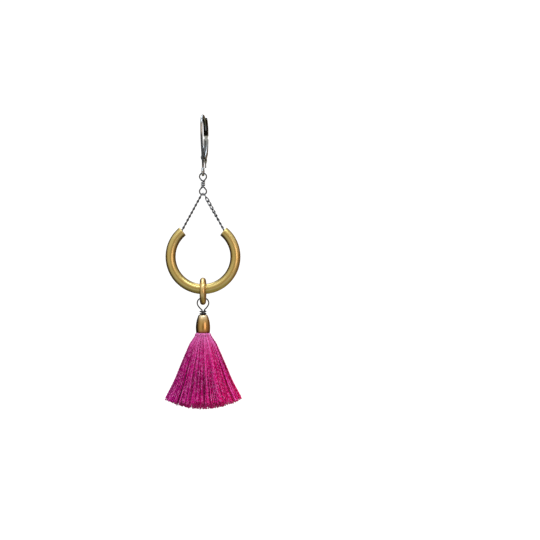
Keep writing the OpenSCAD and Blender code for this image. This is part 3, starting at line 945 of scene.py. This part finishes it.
def hoop_sizes():
    """The hoop's middle height, radius, tube radius and bore, and the angle from its top to each end."""
    low, high = node_box("curved_tube")
    tube = (high[1] - low[1]) / 2
    outer = high[0]
    middle = low[2] + outer
    gap = math.acos((high[2] - middle) / outer)
    return {"middle": middle, "radius": outer - tube, "tube": tube, "bore": HOOP_BORE, "gap": gap}


def hoop_profile(hoop, lip):
    """The tube's outside, lips and bore: angle round the hoop, radius in the tube, and 1 on a lip."""
    outer, bore = hoop["tube"], hoop["bore"]
    lip_angle = lip / hoop["radius"]
    start, end = hoop["gap"] + lip_angle, 2 * math.pi - hoop["gap"] - lip_angle
    turn = np.linspace(0, math.pi / 2, LIP_STEPS + 1)[1:]
    away = np.concatenate([outer - lip + lip * np.cos(turn), bore + lip - lip * np.cos(turn[::-1])])
    turn = np.concatenate([turn, turn[::-1]])

    def length(radius):
        return np.column_stack([np.linspace(start, end, HOOP_STEPS), np.full(HOOP_STEPS, radius),
                                np.zeros(HOOP_STEPS)])

    def lip_at(angle, way):
        return np.column_stack([angle + way * lip_angle * np.sin(turn), away, np.ones(len(turn))])

    return np.vstack([length(outer), lip_at(end, 1), length(bore)[::-1], lip_at(start, -1)[::-1]])


def build_hoop(settings):
    """The open hoop: darker in its bore, painted with shade on its side towards its middle and more near its
    ends, and worn on its lips.
    """
    hoop = hoop_sizes()
    profile = hoop_profile(hoop, settings.lip_radius / MM)
    a, r, on_lip = profile[:, :1], profile[:, 1:2], profile[:, 2:]
    b = around(HOOP_SIDES)
    out = hoop["radius"] + r * np.cos(b)
    rings = np.stack([out * np.sin(a), r * np.sin(b), hoop["middle"] + out * np.cos(a)], -1)
    inside = r < hoop["bore"] + 1e-6
    facing_in = np.clip(-np.cos(b), 0, 1)
    from_end = np.minimum(a - hoop["gap"], 2 * math.pi - hoop["gap"] - a) * hoop["radius"]
    # Painted shade on the side towards the middle, strongest near the ends
    end_shade = END_SHADE * ramp(facing_in, 0.35, 0.45) * bell(from_end, 0, END_SHADE_REACH)
    # Darker in the bore, and painted shade on the side towards the middle
    dirt = np.maximum(np.maximum(inside * BORE_DARKENING, facing_in ** 2 * HOOP_INNER_SHADE), end_shade)
    wear = np.clip(on_lip * LIP_WEAR + END_WEAR * bell(from_end, 0, END_WEAR_REACH) * ~inside, 0, 1)
    shell = Shell()
    shell.grid(rings, closed=True, dirt=dirt, wear=wear)
    material = satin_brass("hoop_brass", settings, 110.0, 0.24, settings.bright)
    piece(shell.mesh("brass_hoop"), material, "hoop", "curved_tube")


def build_ring(settings):
    """The thick round ring: painted with shade towards its middle, where the hoop runs through it, and worn
    on its outside.
    """
    low, high = node_box("jump_ring")
    wire = high[0]
    a, b = around(RING_STEPS)[:, None], around(RING_SIDES)[::-1]
    out = high[1] - wire + wire * np.cos(b)
    middle = (low[2] + high[2]) / 2
    rings = np.stack([wire * np.sin(b) + 0 * a, out * np.sin(a), middle + out * np.cos(a)], -1)
    shell = Shell()
    # Painted shade on the ring's inner side
    shell.grid(rings, closed=True, dirt=np.clip(-np.cos(b), 0, 1) ** 2 * RING_INNER_SHADE,
               wear=np.clip(np.cos(b), 0, 1) ** 3 * RING_OUTER_WEAR)
    material = satin_brass("ring_brass", settings, 170.0, 0.24, settings.bright)
    piece(shell.mesh("brass_ring"), material, "ring", "jump_ring")


CAP_EYE_SIDE = ((0, 1.2), (0.62, 1.13), (1.2, 0.84), (1.55, 0.42), (1.71, -0.15), (1.66, -0.72),
                (1.36, -1.3), (0.96, -1.8))
CAP_EYE_TURN_IN = ((0.5, 0.02, -2.3), (0.4, 0.28, -2.62))
CAP_EYE_FOOT = -2.3
CAP_WRAP_RADIUS = 0.86
CAP_WRAP_PITCH = 0.66
CAP_WRAP_FOOT = 0.24
CAP_WRAP_STEPS = 16
CAP_WRAP_RUN = range(-2, 27)
CAP_WRAPS_TOP = 1.2
BETWEEN_WRAPS_HIGHLIGHT = 0.11
LEG_X = 0.3
LEG_BEND = 0.9
LEG_END = 0.75
LEG_TOP = 1.15
LEG_LEAN = 0.14


def build_cap_wire(settings):
    """The eye above the cap: up from the bend inside it, round the eye and down into two wraps."""
    radius = settings.eye_wire_diameter / MM / 2
    ring_low, ring_high = node_box("jump_ring")
    foot = ring_low[2] + ring_high[0]
    cap_top = node_box("tassel_cap")[1][2]
    bend = front_view(arc((0, cap_top - LEG_BEND), LEG_X, 0, -180, 6))
    legs = [(LEG_X, 0, cap_top + LEG_END), *bend, (-LEG_X, 0, cap_top + LEG_TOP),
            (-LEG_X - LEG_LEAN, 0, foot + CAP_EYE_FOOT)]
    right = [(x, 0, foot + z) for x, z in CAP_EYE_SIDE]
    left = [(-x, 0, z) for x, _, z in reversed(right[1:])]
    turn_in = [(x, y, foot + z) for x, y, z in CAP_EYE_TURN_IN]
    wraps = []
    for turns in (i / CAP_WRAP_STEPS for i in CAP_WRAP_RUN):
        height = CAP_WRAP_FOOT + CAP_WRAP_PITCH * max(1 - level_wraps(turns), 0)
        wraps.append(wrap_point(CAP_WRAP_RADIUS, turns, cap_top + height))
    path = even(smooth(legs + left + right + turn_in + wraps, 8), DARK_WIRE_STEP)
    path, radii = rounded_tip(path, radius, 4)
    shell = Shell()
    above_wraps = path[:, 2] > cap_top + CAP_WRAPS_TOP
    shell.wire(path, radii, DARK_WIRE_SIDES, wear=np.where(above_wraps, wire_wear(path), 0.0))
    mesh = shell.mesh("cap_eye_wire")
    _, y, z = points_of(mesh).T
    # Painted highlight on the front, between the two wraps
    between = bell(z, cap_top + CAP_WRAP_FOOT + CAP_WRAP_PITCH / 2, BETWEEN_WRAPS_HIGHLIGHT) * (y < -0.1)
    store(mesh, "wear", np.maximum(stored(mesh, "wear"), between))
    piece(mesh, finish(oxidised_silver), "tassel_drop", "cap_wire")


CAP_SIDE_RADIUS = 9.5
CAP_WIDEST = 4.0
CAP_CORNER = 0.8
CAP_SHOULDER = 21.5
CAP_WALL = 0.3
CAP_HOLE = 0.6
CAP_OUTER_RIM = 0.08
CAP_INNER_RIM = 0.06
CAP_SIDES = 96

# Painted shade, darkening, a painted highlight and a painted reflection of the dye on the cap, from 0 to 1,
# and how far each reaches
CAP_RIM_SHADE = 0.5
CAP_RIM_SHADE_REACH = 0.35
CAP_HOLE_DARKENING = 0.5
CAP_HOLE_DARKENING_REACH = 0.03
CAP_INSIDE_DARKENING = 0.9
CAP_LEFT_SHADE = 0.75
DOME_HIGHLIGHT = 0.85
DOME_HIGHLIGHT_REACH = 1.1
DYE_REFLECTION_REACH = 0.5


def cap_outline(widest, height):
    """The cap's outline as radius and height, from its hole over the dome to the rim and up inside."""
    def side_at(depth, inset=0.0):
        bow = math.sqrt((CAP_SIDE_RADIUS - inset) ** 2 - (CAP_WIDEST - depth) ** 2)
        return widest - CAP_SIDE_RADIUS + bow

    slope = math.radians(CAP_SHOULDER)
    meet = CAP_CORNER * (1 - math.sin(slope))
    corner = (side_at(meet) - CAP_CORNER * math.cos(slope), -CAP_CORNER)
    outside = [(side_at(d), -d) for d in np.linspace(meet, height - CAP_OUTER_RIM, 41)][1:]
    outer = (side_at(height) - CAP_OUTER_RIM, CAP_OUTER_RIM - height)
    inner = (side_at(height, CAP_WALL) + CAP_INNER_RIM, CAP_INNER_RIM - height)
    rim = arc(outer, CAP_OUTER_RIM, 0, -90, 4)[1:] + arc(inner, CAP_INNER_RIM, -90, -180, 3)
    inside = [(side_at(d, CAP_WALL), -d) for d in np.linspace(height - 0.1, CAP_CORNER + CAP_WALL, 24)]
    hole = [(CAP_HOLE, -CAP_WALL), (CAP_HOLE, -0.06), (CAP_HOLE + 0.05, -0.01), (CAP_HOLE + 0.15, 0)]
    dome = arc(corner, CAP_CORNER, 90, CAP_SHOULDER, 12)
    seen = hole + dome + outside + rim[:5]
    return seen + rim[5:] + inside + hole[:1], len(seen)


def build_cap(settings):
    """The bullet cap: painted pale on its dome as a highlight, painted with shade on its left and at its
    rim, and painted with a reflection of the dye at its rim.
    """
    low, high = node_box("tassel_cap")
    height = high[2] - low[2]
    outline, seen = cap_outline(high[0], height)
    radius, z = np.array(outline[::-1]).T[:, :, None]
    depth = -z
    # Painted shade at the rim, where the dark tassel would be reflected; the cap is also darker round its
    # hole and inside
    dirt = CAP_RIM_SHADE * bell(depth, height, CAP_RIM_SHADE_REACH)
    dirt += CAP_HOLE_DARKENING * bell(depth, 0, CAP_HOLE_DARKENING_REACH)
    dirt[:-seen] = CAP_INSIDE_DARKENING
    # Painted highlight: the dome is painted pale where light from above would shine
    wear = DOME_HIGHLIGHT * bell(depth, 0, DOME_HIGHLIGHT_REACH) * ramp(depth, 0, 0.06)
    a = around(CAP_SIDES)
    rings = np.stack([radius * np.cos(a), radius * np.sin(a), z + high[2] + 0 * a], -1)
    shell = Shell()
    # Painted shade on the cap's left side, and a painted reflection of the dye at the rim
    shell.grid(rings, dirt=np.maximum(dirt, CAP_LEFT_SHADE * ramp(-np.cos(a), 0.35, 0.4)), wear=wear,
               blush=bell(depth, height, DYE_REFLECTION_REACH))
    material = satin_brass("cap_brass", settings, 190.0, 0.16, settings.rubbed, settings.blush)
    piece(shell.mesh("bullet_cap"), material, "tassel_drop", "tassel_cap")


# Tassel. Each layer is a piece: its name, its threads, and the points along and round each thread

THREAD_LAYERS = (
    ("tassel_threads_front_row", 134, 112, 6),
    ("tassel_threads_second_row", 134, 112, 6),
    ("tassel_threads_middle", 180, 84, 6),
    ("tassel_threads_heart", 200, 60, 5),
)
FLARE = ((0, 0.105), (0.06, 0.116), (0.096, 0.185), (0.123, 0.224), (0.149, 0.257), (0.174, 0.286),
         (0.25, 0.37), (0.5, 0.575), (0.75, 0.77), (1, 1))
FLARE_RUN, FLARE_WIDTH, _ = smooth([(run, width, 0) for run, width in FLARE], 8).T
NECK_RADIUS = 1.6
NECK_BULGE = ((2.05, 0.14), (2.3, 0.42), (2.42, 0.7))
RAGGED = 0.013
SWAY = 0.07
SWAY_KNOTS = 6
LOCKS = 17
LOCK_SWAY = 0.13
LOCK_START = 1.3
STREAKS = ((9, 0.4), (14, 2.9), (23, 1.7))
FLECK_LENGTH = 0.4
THINNEST = 0.86
THICKEST = 1.12
THIN_NECK = 0.45
SCATTER = 0.06

# Each thread's tone, from 0 to 1, the painted shade in its hollows and on buried threads, and its painted
# pale glints
TONE_MIDDLE = 0.33
TONE_STREAK = 0.35
TONE_SPREAD = 0.25
WAIST_HOLLOW = 0.5
BURIED_HOLLOW = 0.25
HOLLOW_START = 0.08
HOLLOW_STREAK = 0.3
GLINT_START = 0.54
GLINT_WIDTH = 0.13
GLINT_STREAK = 0.12


def thread_section(count):
    """Two plies side by side, as a closed outline with its waist marked 1."""
    a = around(count)
    radius = 0.6 + 0.4 * np.cos(a) ** 2
    return radius * np.cos(a), radius * np.sin(a) * 0.9, 1 - np.cos(a) ** 2


def thread_path(rng, share, angle, reach, head, spread, steps):
    """One thread's centre line, from inside the cap over its rim and down to its cut end."""
    length = reach * (1 - abs(rng.normal(0, RAGGED)))
    t = np.linspace(0, 1, steps)
    radius = np.interp(t, FLARE_RUN, FLARE_WIDTH) * spread * share
    radius = np.maximum(radius, NECK_RADIUS * share)
    depth = np.sqrt(np.maximum((length * t) ** 2 - (radius * 0.97) ** 2, (length * t * 0.3) ** 2))
    wave = np.cumsum(rng.normal(0, 1, (SWAY_KNOTS, 2)), axis=0) * SWAY
    knots = np.linspace(0, 1, SWAY_KNOTS)
    aside, outward = (np.interp(t, knots, wave[:, k]) * t ** 0.5 for k in (0, 1))
    lock = LOCK_SWAY * np.sin(angle * LOCKS + LOCK_START) * t ** 2
    a = angle + (lock + aside) / np.maximum(radius, 1.0)
    r = np.maximum(radius + outward * 0.8, 0)
    path = np.column_stack([r * np.cos(a), r * np.sin(a), -depth])
    top = path[0] * (1, 1, 0)
    bulge = [(r * share * math.cos(angle), r * share * math.sin(angle), -z) for r, z in NECK_BULGE]
    below = path[path[:, 2] < -NECK_BULGE[-1][1] - 0.15]
    return even(np.vstack([top + (0, 0, head), top + (0, 0, 0.1), bulge, below]), (length + head) / steps)


def build_tassel(settings):
    """The tassel, thread by thread from the outside in, each twisted of two plies."""
    rng = np.random.default_rng(7)
    mouth = node_box("tassel_cap")[0][2]
    low, high = node_box("tassel")
    reach, head = mouth - low[2], high[2] - mouth
    thick = settings.thread_diameter / MM / 2
    flecks = round((high[2] - low[2]) / FLECK_LENGTH)
    fleck_places = np.linspace(0, 1, flecks)
    count = sum(threads for _, threads, _, _ in THREAD_LAYERS)
    material = glossy_silk(settings)
    index = count
    for name, threads, steps, sides in THREAD_LAYERS:
        cross_x, cross_y, waist = thread_section(sides)
        shell = Shell()
        for _ in range(threads):
            index -= 1
            share = ((index + 0.5) / count) ** settings.crowding
            angle = index * GOLDEN_ANGLE + rng.normal(0, SCATTER)
            path = thread_path(rng, share, angle, reach, head, settings.spread / MM, steps)
            path[:, 2] += mouth
            across, up = directions_across(path)
            s = np.linspace(0, 1, len(path))[:, None]
            size = THIN_NECK + (1 - THIN_NECK) * ramp(s, 0, 0.45) ** 0.8
            size = thick * rng.uniform(THINNEST, THICKEST) * size
            phase = 2 * math.pi * (s * reach / (settings.twist / MM) + rng.random())
            x = size * (np.cos(phase) * cross_x - np.sin(phase) * cross_y)
            y = size * (np.sin(phase) * cross_x + np.cos(phase) * cross_y)
            rings = path[:, None] + x[..., None] * across[:, None] + y[..., None] * up[:, None]
            buried = BURIED_HOLLOW * (1 - share) ** 0.7
            streak = sum(math.sin(angle * turns + start) for turns, start in STREAKS) / len(STREAKS)
            fleck = np.interp(s, fleck_places, rng.random(flecks))
            # Painted glints on the crests of the plies
            glint = ramp(fleck + GLINT_STREAK * streak, GLINT_START, GLINT_WIDTH) * (1 - waist) ** 2
            tone = rng.normal(TONE_MIDDLE + TONE_STREAK * streak, TONE_SPREAD)
            # Painted shade in the plies' waist and on threads buried inside the tassel
            hollow = waist * WAIST_HOLLOW + buried - HOLLOW_START - HOLLOW_STREAK * streak
            shell.grid(rings, tone=np.clip(tone, 0, 1), depth=s, hollow=np.clip(hollow, 0, 1), glint=glint)
        obj = piece(shell.mesh(name), material, "tassel_drop", "tassel")
        obj.visible_glossy = False


# Stage

EARRING_MIDDLE = Vector((0.0, 0.0, -0.044))
BACKDROP = (1.1, 1.1, 1.1, 1.0)


def soft_light(name, azimuth, elevation, distance, size, power, colour):
    """A soft box that faces the earring's middle. Azimuth runs from the camera's side to the right."""
    a, e = math.radians(azimuth), math.radians(elevation)
    ahead = Vector((math.sin(a) * math.cos(e), -math.cos(a) * math.cos(e), math.sin(e)))
    data = bpy.data.lights.new(name, "AREA")
    data.shape = "RECTANGLE"
    data.size, data.size_y = size
    data.energy = power
    data.color = colour[:3]
    lamp = bpy.data.objects.new(name, data)
    lamp.location = EARRING_MIDDLE + ahead * distance
    lamp.rotation_euler = ahead.to_track_quat("Z", "Y").to_euler()
    lamp.visible_camera = False
    bpy.context.scene.collection.objects.link(lamp)


def studio_world(settings):
    """White behind the earring. Its reflections see a soft room, bright in front and above, dark behind."""
    world = bpy.data.worlds.new("studio")
    world.use_nodes = True
    world.node_tree.nodes.clear()
    net = Net(world.node_tree)
    x, y, z = net.add("SeparateXYZ", Vector=net.add("TexCoord")["Generated"])
    side = net.span(x, -0.35, 0.55)
    walls = net.mix(side, settings.room_left, settings.room_right)
    far = net.mix(side, settings.back_left, settings.back_right)
    ahead = net.calculate("SUBTRACT", net.times(z, 0.5), y)
    room = net.mix(net.span(ahead, -0.15, 0.5), far, walls)
    lift = net.calculate("SUBTRACT", z, net.most(y, 0.0))
    room = net.mix(net.span(lift, 0.08, 0.55), room, settings.room_top)
    low_front = net.times(net.span(y, 0.0, -0.6), net.span(z, -0.1, -0.4))
    room = net.mix(low_front, room, settings.ground_front)
    behind_left = net.times(net.span(y, -0.2, 0.3), net.span(side, 0.5, 0.0))
    ground = net.mix(behind_left, settings.ground_left, settings.back_left)
    ground = net.mix(side, ground, settings.ground_right)
    room = net.mix(net.span(z, -0.55, -0.85), room, ground)
    room = net.mix(net.span(y, -0.96, -0.99), room, settings.camera_side)
    shine = net.add("Background", Color=net.mix(net.camera_sees(), room, BACKDROP), Strength=1.0)
    net.add("OutputWorld", Surface=shine[0])
    bpy.context.scene.world = world


def floor_board():
    """Pale matt board that the camera sees as white as the backdrop."""
    material, net, shader = new_material("pale_floor")
    grain = net.add("TexNoise", Scale=60.0, Detail=3.0)["Fac"]
    net.fill(shader, Base_Color=net.mix(grain, linear(112, 110, 108), linear(124, 122, 120)), Roughness=0.9,
             Emission_Color=(1.0, 1.0, 1.0, 1.0), Emission_Strength=net.camera_sees())
    return material


def build_floor(height):
    """The floor: a pale round board under the earring."""
    mesh = bpy.data.meshes.new("pale_floor")
    work = bmesh.new()
    bmesh.ops.create_circle(work, cap_ends=True, segments=96, radius=0.9)
    bmesh.ops.translate(work, verts=work.verts[:], vec=(0, 0, height))
    work.to_mesh(mesh)
    work.free()
    mesh.materials.append(floor_board())
    floor = bpy.data.objects.new("pale_floor", mesh)
    bpy.context.scene.collection.objects.link(floor)
    floor.visible_glossy = False
    floor.visible_diffuse = False


def build_stage(settings):
    """The camera, the soft lights, the room that the metal reflects, and the floor."""
    scene = bpy.context.scene
    scene.view_settings.view_transform = "Standard"
    scene.view_settings.look = "None"
    studio_world(settings)
    build_floor(settings.floor_height)
    soft_light("key_light", 36, 3, 0.45, (0.2, 0.19), settings.key_power, settings.key_colour)
    soft_light("window_light", 24, 52, 0.42, (0.3, 0.1), settings.window_power, settings.window_colour)
    soft_light("fill_light", -30, 40, 0.42, (0.2, 0.14), settings.fill_power, settings.fill_colour)
    soft_light("overhead_light", 200, 76, 0.42, (0.3, 0.3), settings.overhead_power, settings.window_colour)
    soft_light("back_light", 185, 40, 0.45, (0.3, 0.2), settings.back_power, settings.fill_colour)
    camera = bpy.data.cameras.new("camera")
    camera.lens = settings.lens
    camera.sensor_width = 36
    stand = bpy.data.objects.new("camera", camera)
    stand.location = settings.camera_place
    stand.rotation_euler = (math.radians(90), 0, 0)
    scene.collection.objects.link(stand)
    scene.camera = stand


# Settings

def size_value(name, description, millimetres):
    return bpy.props.FloatProperty(name=name, description=description, default=millimetres * MM,
                                   unit="LENGTH", subtype="DISTANCE", precision=5)


def colour_value(name, description, colour):
    return bpy.props.FloatVectorProperty(name=name, description=description, default=colour,
                                         size=4, min=0, max=1, subtype="COLOR")


def power_value(name, description, watts):
    return bpy.props.FloatProperty(name=name, description=description, default=watts, min=0, unit="POWER")


class LeverbackSettings(bpy.types.PropertyGroup):
    wire_diameter: size_value("Wire diameter", "Thickness of the ear wire", 0.68)
    ring_drop: size_value("Ring drop", "From the wire's middle at the arch to the ring's middle", 16.95)
    rivet_length: size_value("Rivet length", "Over both of the rivet's heads", 1.76)
    lever_width: size_value("Lever width", "Width of the folded lever", 1.44)


class DarkWireSettings(bpy.types.PropertyGroup):
    wire_diameter: size_value("Wire diameter", "Thickness of the wrapped link's wire", 0.42)
    eye_wire_diameter: size_value("Eye wire diameter", "Thickness of the wire above the cap", 0.4)
    chain_wire_diameter: size_value("Chain wire diameter", "Thickness of the chain links' wire", 0.33)
    link_radius: size_value("Link radius", "Half a chain link's width, to the middle of its wire", 0.39)
    slant: bpy.props.FloatProperty(name="Slant", description="Turn of the chain's flat side about its run",
                                   default=math.radians(90), subtype="ANGLE", unit="ROTATION")


class HoopSettings(bpy.types.PropertyGroup):
    lip_radius: size_value("Lip radius", "Rounding of the tube's cut ends", 0.22)
    bright: colour_value("Bright", "Brass where it is clean", linear(220, 194, 130))
    dull: colour_value("Dull", "Brass under its patina", linear(196, 168, 90))
    # Also the colour of painted shade
    dark: colour_value("Dark", "Stains in hollows", linear(72, 46, 22))


class RingSettings(bpy.types.PropertyGroup):
    bright: colour_value("Bright", "Brass where it is clean", linear(220, 188, 128))
    dull: colour_value("Dull", "Brass under its patina", linear(202, 164, 98))
    # Also the colour of painted shade
    dark: colour_value("Dark", "Stains in hollows", linear(84, 54, 22))


class CapSettings(bpy.types.PropertyGroup):
    bright: colour_value("Bright", "Brass where it is clean", linear(206, 166, 104))
    dull: colour_value("Dull", "Brass under its patina", linear(176, 134, 72))
    # Also the colour of painted shade
    dark: colour_value("Dark", "Stains in hollows", linear(78, 48, 24))
    # Painted highlight on the dome
    rubbed: colour_value("Rubbed", "Brass rubbed pale on the dome", linear(255, 236, 200))
    # Painted reflection of the thread's dye on the rim
    blush: colour_value("Blush", "Tint that the thread's dye leaves on the rim", linear(240, 135, 180))


class TasselSettings(bpy.types.PropertyGroup):
    thread_diameter: size_value("Thread diameter", "Thickness of a thread near its end", 0.44)
    twist: size_value("Twist", "Length of one turn of a thread's two plies", 1.6)
    spread: size_value("Spread", "Radius of the tassel at its foot", 11.6)
    crowding: bpy.props.FloatProperty(
        name="Crowding", description="0.5 spreads the threads evenly, less crowds them to the outside",
        default=0.42, min=0.2, max=0.6)
    # Dye tinted by painted light: violet on the left, red on the right
    violet_side: colour_value("Violet side", "Dye of the threads on the left", linear(202, 0, 148))
    red_side: colour_value("Red side", "Dye of the threads on the right", linear(255, 0, 106))
    light_thread: colour_value("Light threads", "Palest threads and fibres", linear(252, 48, 168))
    # Colour of the painted shadows on the threads
    deep_thread: colour_value("Deep threads", "Hollows between the plies", linear(122, 0, 70))
    neck_thread: colour_value("Neck threads", "Sheen of the threads below the cap", linear(255, 176, 238))
    # Painted glints along the threads
    glint_thread: colour_value("Glints", "Pale flecks along the threads", linear(255, 136, 208))


class StageSettings(bpy.types.PropertyGroup):
    lens: bpy.props.FloatProperty(name="Lens", description="Focal length", default=100, unit="CAMERA")
    camera_place: bpy.props.FloatVectorProperty(name="Camera place", description="Where the camera stands",
                                                default=(0.0201, -0.45, -0.0463), subtype="TRANSLATION",
                                                unit="LENGTH")
    floor_height: size_value("Floor height", "Height of the floor, counted from the arch", -140)
    key_power: power_value("Key power", "Warm soft box on the right", 0.2)
    window_power: power_value("Window power", "Cool window above", 0.65)
    overhead_power: power_value("Overhead power", "Cool soft box above", 1.0)
    fill_power: power_value("Fill power", "Soft box at the upper left", 0.1)
    back_power: power_value("Back power", "Soft box behind", 0.15)
    key_colour: colour_value("Key colour", "Warm light", (1.0, 0.82, 0.88, 1.0))
    window_colour: colour_value("Window colour", "Cool light", (0.76, 0.87, 1.0, 1.0))
    fill_colour: colour_value("Fill colour", "Pale light", (0.9, 0.95, 1.0, 1.0))
    room_left: colour_value("Room left", "Reflections of the room's left side", linear(220, 216, 196))
    room_right: colour_value("Room right", "Reflections of the room's right side", linear(200, 170, 142))
    back_left: colour_value("Back left", "Reflections of the room behind, left", linear(70, 66, 58))
    back_right: colour_value("Back right", "Reflections of the room behind, right", linear(134, 110, 84))
    room_top: colour_value("Room top", "Reflections of the ceiling", linear(240, 248, 255))
    ground_front: colour_value("Ground front", "Reflections from below, in front", linear(200, 210, 222))
    ground_left: colour_value("Ground left", "Reflections from below, left", linear(139, 141, 118))
    ground_right: colour_value("Ground right", "Reflections from below, right", linear(173, 176, 140))
    camera_side: colour_value("Camera side", "Reflections of the camera", linear(170, 156, 128))


# Operators

class LeverbackOperator(bpy.types.Operator):
    """Build the leverback: its wire with ring and lug, its folded lever and its rivet"""
    bl_idname = "earring.leverback"
    bl_label = "Leverback"

    def execute(self, context):
        settings = context.scene.earring_leverback
        build_ear_wire(settings)
        build_lever(settings)
        build_rivet(settings)
        return {"FINISHED"}


class DarkWireOperator(bpy.types.Operator):
    """Build the dark wires: the wrapped link, the curb chain and the cap's eye"""
    bl_idname = "earring.dark_wires"
    bl_label = "Dark Wires and Chain"

    def execute(self, context):
        settings = context.scene.earring_dark_wires
        build_wrapped_link(settings)
        build_chain(settings)
        build_cap_wire(settings)
        return {"FINISHED"}


class HoopOperator(bpy.types.Operator):
    """Build the open brass hoop from its bent tube"""
    bl_idname = "earring.hoop"
    bl_label = "Brass Hoop"

    def execute(self, context):
        build_hoop(context.scene.earring_hoop)
        return {"FINISHED"}


class RingOperator(bpy.types.Operator):
    """Build the thick ring around the hoop's foot"""
    bl_idname = "earring.ring"
    bl_label = "Brass Ring"

    def execute(self, context):
        build_ring(context.scene.earring_ring)
        return {"FINISHED"}


class CapOperator(bpy.types.Operator):
    """Build the bullet cap over the tassel's top"""
    bl_idname = "earring.cap"
    bl_label = "Bullet Cap"

    def execute(self, context):
        build_cap(context.scene.earring_cap)
        return {"FINISHED"}


class TasselOperator(bpy.types.Operator):
    """Build the tassel, thread by thread"""
    bl_idname = "earring.tassel"
    bl_label = "Tassel"

    def execute(self, context):
        build_tassel(context.scene.earring_tassel)
        return {"FINISHED"}


class StageOperator(bpy.types.Operator):
    """Set the camera, the soft lights and the pale floor"""
    bl_idname = "earring.stage"
    bl_label = "Stage"

    def execute(self, context):
        build_stage(context.scene.earring_stage)
        return {"FINISHED"}


PARTS = (
    (StageOperator, StageSettings, "earring_stage"),
    (LeverbackOperator, LeverbackSettings, "earring_leverback"),
    (DarkWireOperator, DarkWireSettings, "earring_dark_wires"),
    (HoopOperator, HoopSettings, "earring_hoop"),
    (RingOperator, RingSettings, "earring_ring"),
    (CapOperator, CapSettings, "earring_cap"),
    (TasselOperator, TasselSettings, "earring_tassel"),
)


class EarringPanel(bpy.types.Panel):
    """Sizes and colours of the earring, with a button for each piece"""
    bl_idname = "VIEW3D_PT_earring"
    bl_label = "Duster Earring"
    bl_space_type = "VIEW_3D"
    bl_region_type = "UI"
    bl_category = "Earring"

    def draw(self, context):
        for operator, settings, place in PARTS:
            box = self.layout.box()
            for name in settings.__annotations__:
                box.prop(getattr(context.scene, place), name)
            box.operator(operator.bl_idname)


def register():
    for operator, settings, place in PARTS:
        bpy.utils.register_class(settings)
        bpy.utils.register_class(operator)
        setattr(bpy.types.Scene, place, bpy.props.PointerProperty(type=settings))
    bpy.utils.register_class(EarringPanel)


def unregister():
    bpy.utils.unregister_class(EarringPanel)
    for operator, settings, place in reversed(PARTS):
        delattr(bpy.types.Scene, place)
        bpy.utils.unregister_class(operator)
        bpy.utils.unregister_class(settings)


def main():
    register()
    bpy.ops.earring.stage()
    bpy.ops.earring.leverback()
    bpy.ops.earring.dark_wires()
    bpy.ops.earring.hoop()
    bpy.ops.earring.ring()
    bpy.ops.earring.cap()
    bpy.ops.earring.tassel()


if __name__ == "__main__":
    main()
